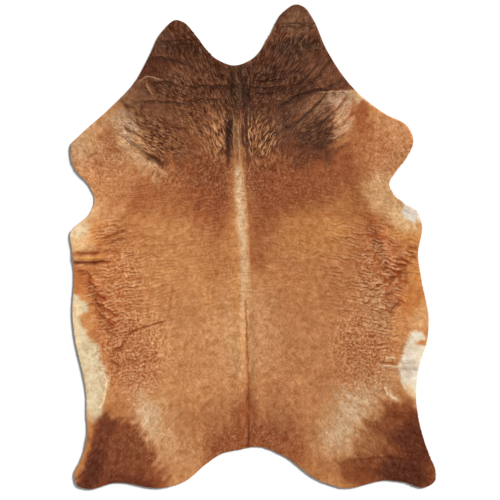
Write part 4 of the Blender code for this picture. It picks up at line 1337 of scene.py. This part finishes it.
def makeHairGround():  # the roots and skin that show between the locks
    material, tree, shader = newMaterial("hairGround", (0.30, 0.14, 0.06, 1))
    height = addGrain(tree, (-400, 60), placePattern(tree, (-700, 100)), groundLook, shader)
    addBump(tree, (-200, -200), height, groundLook, shader)
    return material


suedeLook = {
    "pale": (0.66, 0.52, 0.36, 1),
    "dark": (0.50, 0.36, 0.22, 1),
    "blotchScale": 5.0,
    "blotchRange": (0.35, 0.68, 0, 1),
    "grainScale": 900.0,
    "grainContrast": 0.35,
    "roughness": 0.9,
    "specular": 0.1,
    "sheen": 0.15,
    "bump": 0.6,
    "bumpHeight": 0.0006,
}


def makeSuede():  # the flesh side and the cut edge
    material, tree, shader = newMaterial("suede", (0.58, 0.44, 0.29, 1))
    where = addNode(tree, "ShaderNodeTexCoord", (-1000, 0)).outputs["Object"]
    blotch = noiseOn(tree, (-800, 100), where, suedeLook["blotchScale"], 6, 0.5, "3D")
    feed(tree, blotch, {"Distortion": 0.6})
    amount = mapRange(tree, (-600, 100), blotch.outputs["Fac"], *suedeLook["blotchRange"])
    mixed = blend(tree, (-400, 100), amount, suedeLook["pale"], suedeLook["dark"])
    height = addGrain(tree, (-200, 60), mixed, suedeLook, shader)
    addBump(tree, (0, -250), height, suedeLook, shader)
    return material


hair = makeHair()
skin.data.materials.append(makeHairGround())
skin.data.materials.append(makeSuede())
skin.data.polygons.foreach_set("material_index", skinSides)
print("materials made")


# the pile: closed four-sided locks of hair, set over the skin by Geometry Nodes
lockShape = {
    "corners": [(0.0, 0.0, -0.35), (-0.5, 0.42, 0.30), (0.5, 0.42, 0.30), (0.0, 1.0, 1.0)],  # root to tip
    "faces": [(0, 2, 1), (1, 2, 3), (0, 1, 3), (0, 3, 2)],
    "shade": [0, 0.45, 0.45, 1],  # at the same corners
    "width": (0.7, 1.25),  # least and most, as a share of the lock's size
    "length": (0.78, 1.0),
    "rise": (0.55, 1.35),
}


def makeLock():
    mesh = bpy.data.meshes.new("lock")
    mesh.from_pydata(lockShape["corners"], [], lockShape["faces"])
    mesh.update()
    return addObject("lock", mesh)


def attributeNode(tree, place, name, kind):
    node = addNode(tree, "GeometryNodeInputNamedAttribute", place, {"Name": name}, data_type=kind)
    return node.outputs["Attribute"]


def chanceNode(tree, place, low, high, seed):  # an even chance from low to high
    values = {2: low, 3: high, "Seed": seed}
    return addNode(tree, "FunctionNodeRandomValue", place, values, data_type="FLOAT").outputs[1]


def lyingAlong(tree, place, direction, stray):  # up from the floor, along a direction, then strayed
    x, y = place
    lying = addNode(tree, "FunctionNodeAxesToRotation", place, primary_axis="Z", secondary_axis="Y")
    feed(tree, lying, {"Primary Axis": (0, 0, 1), "Secondary Axis": direction})
    euler = addNode(tree, "ShaderNodeCombineXYZ", (x + 200, y - 300), stray)
    turned = addNode(tree, "FunctionNodeEulerToRotation", (x + 380, y - 270), {0: euler.outputs[0]})
    values = {"Rotation": lying.outputs[0], "Rotate By": turned.outputs[0]}
    rotated = addNode(tree, "FunctionNodeRotateRotation", (x + 560, y), values, rotation_space="LOCAL")
    return rotated.outputs[0]


def plantLocks(tree, given, values):  # locks on points, made real and given their hair
    source = addNode(tree, "GeometryNodeObjectInfo", (160, 250), {"Object": given["Lock"]})
    values["Instance"] = source.outputs["Geometry"]
    planted = addNode(tree, "GeometryNodeInstanceOnPoints", (500, 50), values)
    real = addNode(tree, "GeometryNodeRealizeInstances", (800, 50), {0: planted.outputs[0]})
    values = {"Geometry": real.outputs[0], "Material": given["Hair"]}
    painted = addNode(tree, "GeometryNodeSetMaterial", (1050, 50), values)
    addNode(tree, "NodeGroupOutput", (1400, 0), {0: painted.outputs[0]})
    return tree


def makePileTree():
    inputs = (
        ("Skin", "Geometry", None),
        ("Lock", "Object", None),
        ("Spacing", "Float", 0.003),
        ("Density", "Float", 80000.0),
        ("From Y", "Float", 0.0),
        ("To Y", "Float", 1.0),
        ("Lock Width", "Float", 0.005),
        ("Lock Rise", "Float", 0.0014),
        ("Turn Spread", "Float", 0.2),
        ("Roll Spread", "Float", 0.2),
        ("Seed", "Int", 1),
        ("Hair", "Material", None),
    )
    tree = newGroup("GeometryNodeTree", "hairPile", inputs, [("Pile", "Geometry")])
    given = addNode(tree, "NodeGroupInput", (-1500, 0)).outputs
    place = addNode(tree, "GeometryNodeInputPosition", (-1500, 350))
    apart = addNode(tree, "ShaderNodeSeparateXYZ", (-1350, 350), {0: place.outputs[0]})
    chosen = attributeNode(tree, (-1500, 500), "hairSide", "BOOLEAN")
    for index, (label, test) in enumerate((("From Y", "GREATER_EQUAL"), ("To Y", "LESS_THAN"))):
        within = addNode(tree, "FunctionNodeCompare", (-1180, 400 - 180 * index), operation=test)
        within.data_type = "FLOAT"
        feed(tree, within, {"A": apart.outputs["Y"], "B": given[label]})
        values = {0: chosen, 1: within.outputs["Result"]}
        both = addNode(tree, "FunctionNodeBooleanMath", (-1000 + 160 * index, 300), values, operation="AND")
        chosen = both.outputs[0]
    scatter = addNode(tree, "GeometryNodeDistributePointsOnFaces", (-640, 100), distribute_method="POISSON")
    feed(tree, scatter, {"Mesh": given["Skin"], "Selection": chosen, "Distance Min": given["Spacing"],
                         "Density Max": given["Density"], "Seed": given["Seed"]})
    stray = {}
    for offset, (label, axis) in enumerate((("Turn Spread", "Z"), ("Roll Spread", "Y")), 1):
        back = calc(tree, (-640, -350 - 160 * offset), "MULTIPLY", given[label], -1.0)
        stray[axis] = chanceNode(tree, (-420, -350 - 160 * offset), back, given[label], offset)
    combed = attributeNode(tree, (-640, -200), "combed", "FLOAT_VECTOR")
    length = attributeNode(tree, (-640, -850), "hairLength", "FLOAT")
    varied = (
        ("X", given["Lock Width"], lockShape["width"]),
        ("Y", length, lockShape["length"]),
        ("Z", given["Lock Rise"], lockShape["rise"]),
    )
    size = addNode(tree, "ShaderNodeCombineXYZ", (160, -600))
    for index, (axis, measure, ends) in enumerate(varied):
        chance = chanceNode(tree, (-420, -850 - 160 * index), *ends, 10 + index)
        feed(tree, size, {axis: calc(tree, (-200, -850 - 160 * index), "MULTIPLY", chance, measure)})
    rotation = lyingAlong(tree, (-400, -150), combed, stray)
    return plantLocks(tree, given, {"Points": scatter.outputs["Points"], "Rotation": rotation,
                                    "Scale": size.outputs[0]})


pileTree = makePileTree()
lock = makeLock()

# one piece of coat for each stretch of the body: lowest and highest Y in metres,
# width and rise of a lock in metres, stray in radians
pilePieces = {
    "spacing": 0.00206,
    "density": 120000.0,  # most locks to the square metre
    "pullIn": 0.8,  # share of its length that a lock keeps each time it still passes the edge
    "lowest": 0.0003,
    "strandFrom": {"dark": 0.2, "light": 0.6},  # how far from the mean a lock starts to be a strand
    "strandShare": 0.6,
    "mostLight": 0.7,
    "mostDark": 0.6,
    "shadeSpread": 0.10,
    "creamBlue": (110, 165),  # from this blue to that, hair varies less from lock to lock
    "creamEven": 0.7,
    "screenRange": (3, 252),
    "kite": 1.6,  # half size of a lock's place in the baked map, in thousandths
    "mapMargin": 0.01,
    "stretches": [
        ("rumpCoat", -1.20, -0.66, 0.0042, 0.0010, 0.20, 0.16),
        ("loinCoat", -0.66, -0.26, 0.0042, 0.0010, 0.20, 0.16),
        ("ribCoat", -0.26, 0.14, 0.0042, 0.0010, 0.20, 0.16),
        ("shoulderCoat", 0.14, 0.56, 0.0042, 0.0014, 0.24, 0.20),
        ("neckCoat", 0.56, 1.20, 0.0044, 0.0018, 0.28, 0.26),
    ],
}


def growLocks(name, mesh, tree, values):  # the tree's locks over a mesh, as one plain mesh
    obj = addObject(name, mesh)
    modifier = obj.modifiers.new("pile", "NODES")
    modifier.node_group = tree
    sockets = {item.name: item.identifier for item in tree.interface.items_tree if item.in_out == "INPUT"}
    for label, value in values.items():
        modifier[sockets[label]] = value
    graph = bpy.context.evaluated_depsgraph_get()
    grown = bpy.data.meshes.new_from_object(obj.evaluated_get(graph), depsgraph=graph)
    obj.modifiers.remove(modifier)
    obj.data = grown
    grown.name = name
    return obj, pointsOf(grown).reshape(-1, 4, 3)


def trimToEdge(places):  # pulls in the locks whose tips pass the cut edge
    butts = places[:, 0]
    tips = places[:, 3]
    share = np.ones(len(places))
    for _ in range(8):
        x = butts[:, 0] + (tips[:, 0] - butts[:, 0]) * share
        y = butts[:, 1] + (tips[:, 1] - butts[:, 1]) * share
        over = reading(rimDistance, x, y) < -coat["tipOver"]
        share = np.where(over, share * pilePieces["pullIn"], share)
    return butts[:, None] + (places - butts[:, None]) * share[:, None, None]


def laidOnSkin(places):  # each corner of a lock follows the skin below it
    below = reading(skinTop, places[..., 0], places[..., 1])
    places[..., 2] = np.maximum(places[..., 2] + (below - below[:, :1]), pilePieces["lowest"])
    return places


def finishLocks(obj, places, screen, markShare=1):
    mesh = obj.data
    mesh.vertices.foreach_set("co", places.ravel())
    setHairColour(mesh, np.clip(screen, *pilePieces["screenRange"]).reshape(-1, 3))
    flat = places.reshape(-1, 3)
    setMarks(mesh, flat[:, 0], flat[:, 1], markShare)
    along = np.tile(np.array(lockShape["shade"], np.float32), len(places))
    mesh.attributes.new("along", "FLOAT", "POINT").data.foreach_set("value", along)
    lowest = flat.min(0)[:2]
    span = flat.max(0)[:2] - lowest
    margin = pilePieces["mapMargin"]
    centre = (places[:, 0, :2] - lowest) / span * (1 - 2 * margin) + margin
    kite = np.array([(0, -1), (-1, 0), (1, 0), (0, 1)]) * pilePieces["kite"] * mm
    spot = (centre[:, None] + kite[None]).reshape(-1, 2)
    uvs = mesh.uv_layers.new(name="OFBake")
    uvs.data.foreach_set("uv", spot[cornersOf(mesh)].ravel())
    mesh.update()
    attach(obj, "root")
    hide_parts("hide")


def growCoat(name, low, high, width, rise, turn, roll, seed):
    obj, places = growLocks(name, skin.data, pileTree, {
        "Lock": lock, "Spacing": pilePieces["spacing"], "Density": pilePieces["density"], "From Y": low,
        "To Y": high, "Lock Width": width, "Lock Rise": rise, "Turn Spread": turn, "Roll Spread": roll,
        "Seed": seed, "Hair": hair,
    })
    places = laidOnSkin(trimToEdge(places))
    screen = reading(hairColour, places[..., 0], places[..., 1])
    random = np.random.default_rng(fieldGrid["seed"] + seed)
    chance = random.standard_normal(len(screen))
    x = places[:, 0, 0]
    y = places[:, 0, 1]
    start = pilePieces["strandFrom"]
    dark = np.clip(-chance - start["dark"], 0, 2) * reading(darkStrands, x, y) * pilePieces["strandShare"]
    light = np.clip(chance - start["light"], 0, 2) * reading(lightStrands, x, y) * pilePieces["strandShare"]
    straw = np.array(hairColours["straw"], float)
    screen = screen + (straw - screen) * np.clip(light, 0, pilePieces["mostLight"])[:, None, None]
    screen = screen * (1 - np.clip(dark, 0, pilePieces["mostDark"]))[:, None, None]
    even = 1 - pilePieces["creamEven"] * ease(*pilePieces["creamBlue"], screen[:, :1, 2:])
    screen = screen * (1 + pilePieces["shadeSpread"] * even * random.standard_normal((len(screen), 1, 1)))
    finishLocks(obj, places, screen)
    print(name, "grown,", len(places), "locks,", len(obj.data.polygons), "triangles")
    return obj


# the marks and creases again, as chains of locks that lie along them
creasePieces = {
    "routeStep": 0.006,
    "stray": 0.0022,  # metres
    "strayGrain": 0.008,
    "fadeOut": (-0.12, 0.25),  # share of a route over which its ends come up to full strength
    "rowSpace": 0.0024,
    "rowStray": 0.0005,
    "taper": 0.4,  # share of its width that a mark has at its ends
    "rimClear": 0.006,
    "step": 0.0036,
    "lockWidth": 0.0032,
    "lockLength": 0.0085,
    "lockRise": 0.0012,
    "lift": 0.0009,  # metres above the skin, and how much more on the neck with its longer hair
    "neckLift": 1.6,
    "turnSpread": 0.5,  # radians
    "kept": 0.92,  # share of the locks that stand
    "seed": 5,
    "dyeShare": (0.7, 1.0),  # least and most of a mark's strength from lock to lock
    "markShare": 0.25,  # how much of the shader's fine marks shows on them
}


def makeChainTree():
    inputs = (
        ("Routes", "Geometry", None),
        ("Lock", "Object", None),
        ("Step", "Float", 0.0045),
        ("Lock Width", "Float", 0.003),
        ("Lock Length", "Float", 0.015),
        ("Lock Rise", "Float", 0.0016),
        ("Turn Spread", "Float", 0.3),
        ("Kept Share", "Float", 0.8),
        ("Seed", "Int", 5),
        ("Hair", "Material", None),
    )
    tree = newGroup("GeometryNodeTree", "hairChains", inputs, [("Chains", "Geometry")])
    given = addNode(tree, "NodeGroupInput", (-900, 0)).outputs
    curve = addNode(tree, "GeometryNodeMeshToCurve", (-700, 0), {"Mesh": given["Routes"]})
    spaced = addNode(tree, "GeometryNodeResampleCurve", (-500, 0), mode="LENGTH")
    feed(tree, spaced, {"Curve": curve.outputs[0], "Length": given["Step"]})
    tangent = addNode(tree, "GeometryNodeInputTangent", (-700, -250))
    back = calc(tree, (-700, -500), "MULTIPLY", given["Turn Spread"], -1.0)
    turn = chanceNode(tree, (-500, -500), back, given["Turn Spread"], given["Seed"])
    kept = addNode(tree, "FunctionNodeRandomValue", (60, 400), data_type="BOOLEAN")
    feed(tree, kept, {"Probability": given["Kept Share"]})
    size = addNode(tree, "ShaderNodeCombineXYZ", (160, -600), {
        "X": given["Lock Width"], "Y": given["Lock Length"], "Z": given["Lock Rise"]})
    rotation = lyingAlong(tree, (-300, -250), tangent.outputs[0], {"Z": turn})
    return plantLocks(tree, given, {"Points": spaced.outputs[0], "Selection": kept.outputs[3],
                                    "Rotation": rotation, "Scale": size.outputs[0]})


wander = lumps(17, creasePieces["strayGrain"]), lumps(18, creasePieces["strayGrain"])


def wandering(route):  # a route in short steps that stray a little, and its strength along it
    route = np.array(route) * cm
    run = np.concatenate([[0], np.cumsum(np.hypot(*np.diff(route, axis=0).T))])
    at = np.linspace(0, run[-1], max(4, int(run[-1] / creasePieces["routeStep"])))
    x = np.interp(at, run, route[:, 0])
    y = np.interp(at, run, route[:, 1])
    x = x + creasePieces["stray"] * reading(wander[0], x, y)
    y = y + creasePieces["stray"] * reading(wander[1], x, y)
    ends = np.minimum(at, run[-1] - at) / run[-1]
    return np.column_stack([x, y]), ease(*creasePieces["fadeOut"], ends)


def routeMesh():  # every mark as runs of edges, side by side in as many rows as it is wide
    points = []
    edges = []
    colours = []
    random = np.random.default_rng(fieldGrid["seed"])
    space = creasePieces["rowSpace"]
    taper = creasePieces["taper"]
    for name, hue, strength, half, depth, route in coatStrokes:
        line, fade = wandering(route)
        rows = max(1, round(half * cm / space))
        ahead = np.gradient(line, axis=0)
        across = np.column_stack([-ahead[:, 1], ahead[:, 0]]) / np.hypot(*ahead.T)[:, None]
        for row in range(rows):
            shift = (row - (rows - 1) / 2) * space * (taper + (1 - taper) * fade)
            beside = line + across * (shift + random.normal(0, creasePieces["rowStray"], len(line)))[:, None]
            clear = reading(rimDistance, beside[:, 0], beside[:, 1]) > creasePieces["rimClear"]
            start = len(points)
            for (x, y), share in zip(beside.tolist(), fade):
                points.append((x, y, 0.0))
                colours.append(list(hairColours[hue]) + [strength * share])
            edges += [(start + i, start + i + 1) for i in range(len(line) - 1) if clear[i] and clear[i + 1]]
    places = np.array(points)
    onNeck = reading(neckShare, places[:, 0], places[:, 1])
    lift = creasePieces["lift"] * (1 + creasePieces["neckLift"] * onNeck)
    places[:, 2] = reading(skinTop, places[:, 0], places[:, 1]) + lift
    mesh = bpy.data.meshes.new("creaseHair")
    mesh.from_pydata(places.tolist(), edges, [])
    values = np.array(colours, np.float32)
    mesh.color_attributes.new("dyed", "FLOAT_COLOR", "POINT").data.foreach_set("color", values.ravel())
    return mesh


def growCreases():
    obj, places = growLocks("creaseHair", routeMesh(), makeChainTree(), {
        "Lock": lock, "Step": creasePieces["step"], "Lock Width": creasePieces["lockWidth"],
        "Lock Length": creasePieces["lockLength"], "Lock Rise": creasePieces["lockRise"],
        "Turn Spread": creasePieces["turnSpread"], "Kept Share": creasePieces["kept"],
        "Seed": creasePieces["seed"], "Hair": hair,
    })
    places = laidOnSkin(places)
    mesh = obj.data
    dyed = np.empty(len(mesh.vertices) * 4, np.float32)
    mesh.attributes["dyed"].data.foreach_get("color", dyed)
    dyed = dyed.reshape(-1, 4)
    mesh.attributes.remove(mesh.attributes["dyed"])
    under = reading(hairColour, places[..., 0], places[..., 1]).reshape(-1, 3)
    random = np.random.default_rng(fieldGrid["seed"] + 9)
    share = dyed[:, 3] * np.repeat(random.uniform(*creasePieces["dyeShare"], len(places)), 4)
    screen = under + (dyed[:, :3] - under) * share[:, None]
    finishLocks(obj, places, screen, creasePieces["markShare"])
    print("creaseHair grown,", len(places), "locks,", len(mesh.polygons), "triangles")
    return obj


for index, (name, low, high, width, rise, turn, roll) in enumerate(pilePieces["stretches"]):
    growCoat(name, low, high, width, rise, turn, roll, index + 1)
growCreases()
bpy.data.objects.remove(lock)

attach(skin, "root")
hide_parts("hide")
print("coat on the skin")


# plain pale floor, soft light from the upper right and a camera straight above
studio = {
    "floorSize": 12.0,
    "floorColour": (0.76, 0.76, 0.76, 1),
    "skyStrength": 0.34,
    "keyStrength": 5.4,
    "keyFrom": (0.80, 0.62, 0.74),
    "keyAngle": 16.0,  # degrees across, for a soft shadow
    "eye": (-0.0136, -0.0159, 6.313),
    "lens": 100.0,
}


def makeStudio():
    half = studio["floorSize"] / 2
    mesh = bpy.data.meshes.new("floor")
    corners = [(-half, -half, 0), (half, -half, 0), (half, half, 0), (-half, half, 0)]
    mesh.from_pydata(corners, [], [(0, 1, 2, 3)])
    floor = addObject("floor", mesh)
    material, tree, shader = newMaterial("floorPaint", studio["floorColour"])
    feed(tree, shader, {"Base Color": studio["floorColour"], "Roughness": 0.9, "Specular IOR Level": 0.0})
    mesh.materials.append(material)
    world = bpy.data.worlds.new("sky")
    bpy.context.scene.world = world
    world.use_nodes = True
    background = world.node_tree.nodes["Background"]
    feed(world.node_tree, background, {"Color": (1, 1, 1, 1), "Strength": studio["skyStrength"]})
    sun = bpy.data.lights.new("key", "SUN")
    sun.energy = studio["keyStrength"]
    sun.angle = math.radians(studio["keyAngle"])
    lamp = addObject("key", sun)
    lamp.rotation_euler = Vector(studio["keyFrom"]).to_track_quat("Z", "Y").to_euler()


def makeCamera():
    data = bpy.data.cameras.new("camera")
    data.lens = studio["lens"]
    data.sensor_width = 36
    camera = addObject("camera", data)
    camera.location = studio["eye"]
    scene = bpy.context.scene
    scene.camera = camera
    scene.view_settings.view_transform = "Standard"
    scene.view_settings.look = "None"


makeStudio()
makeCamera()
print("studio and camera set")
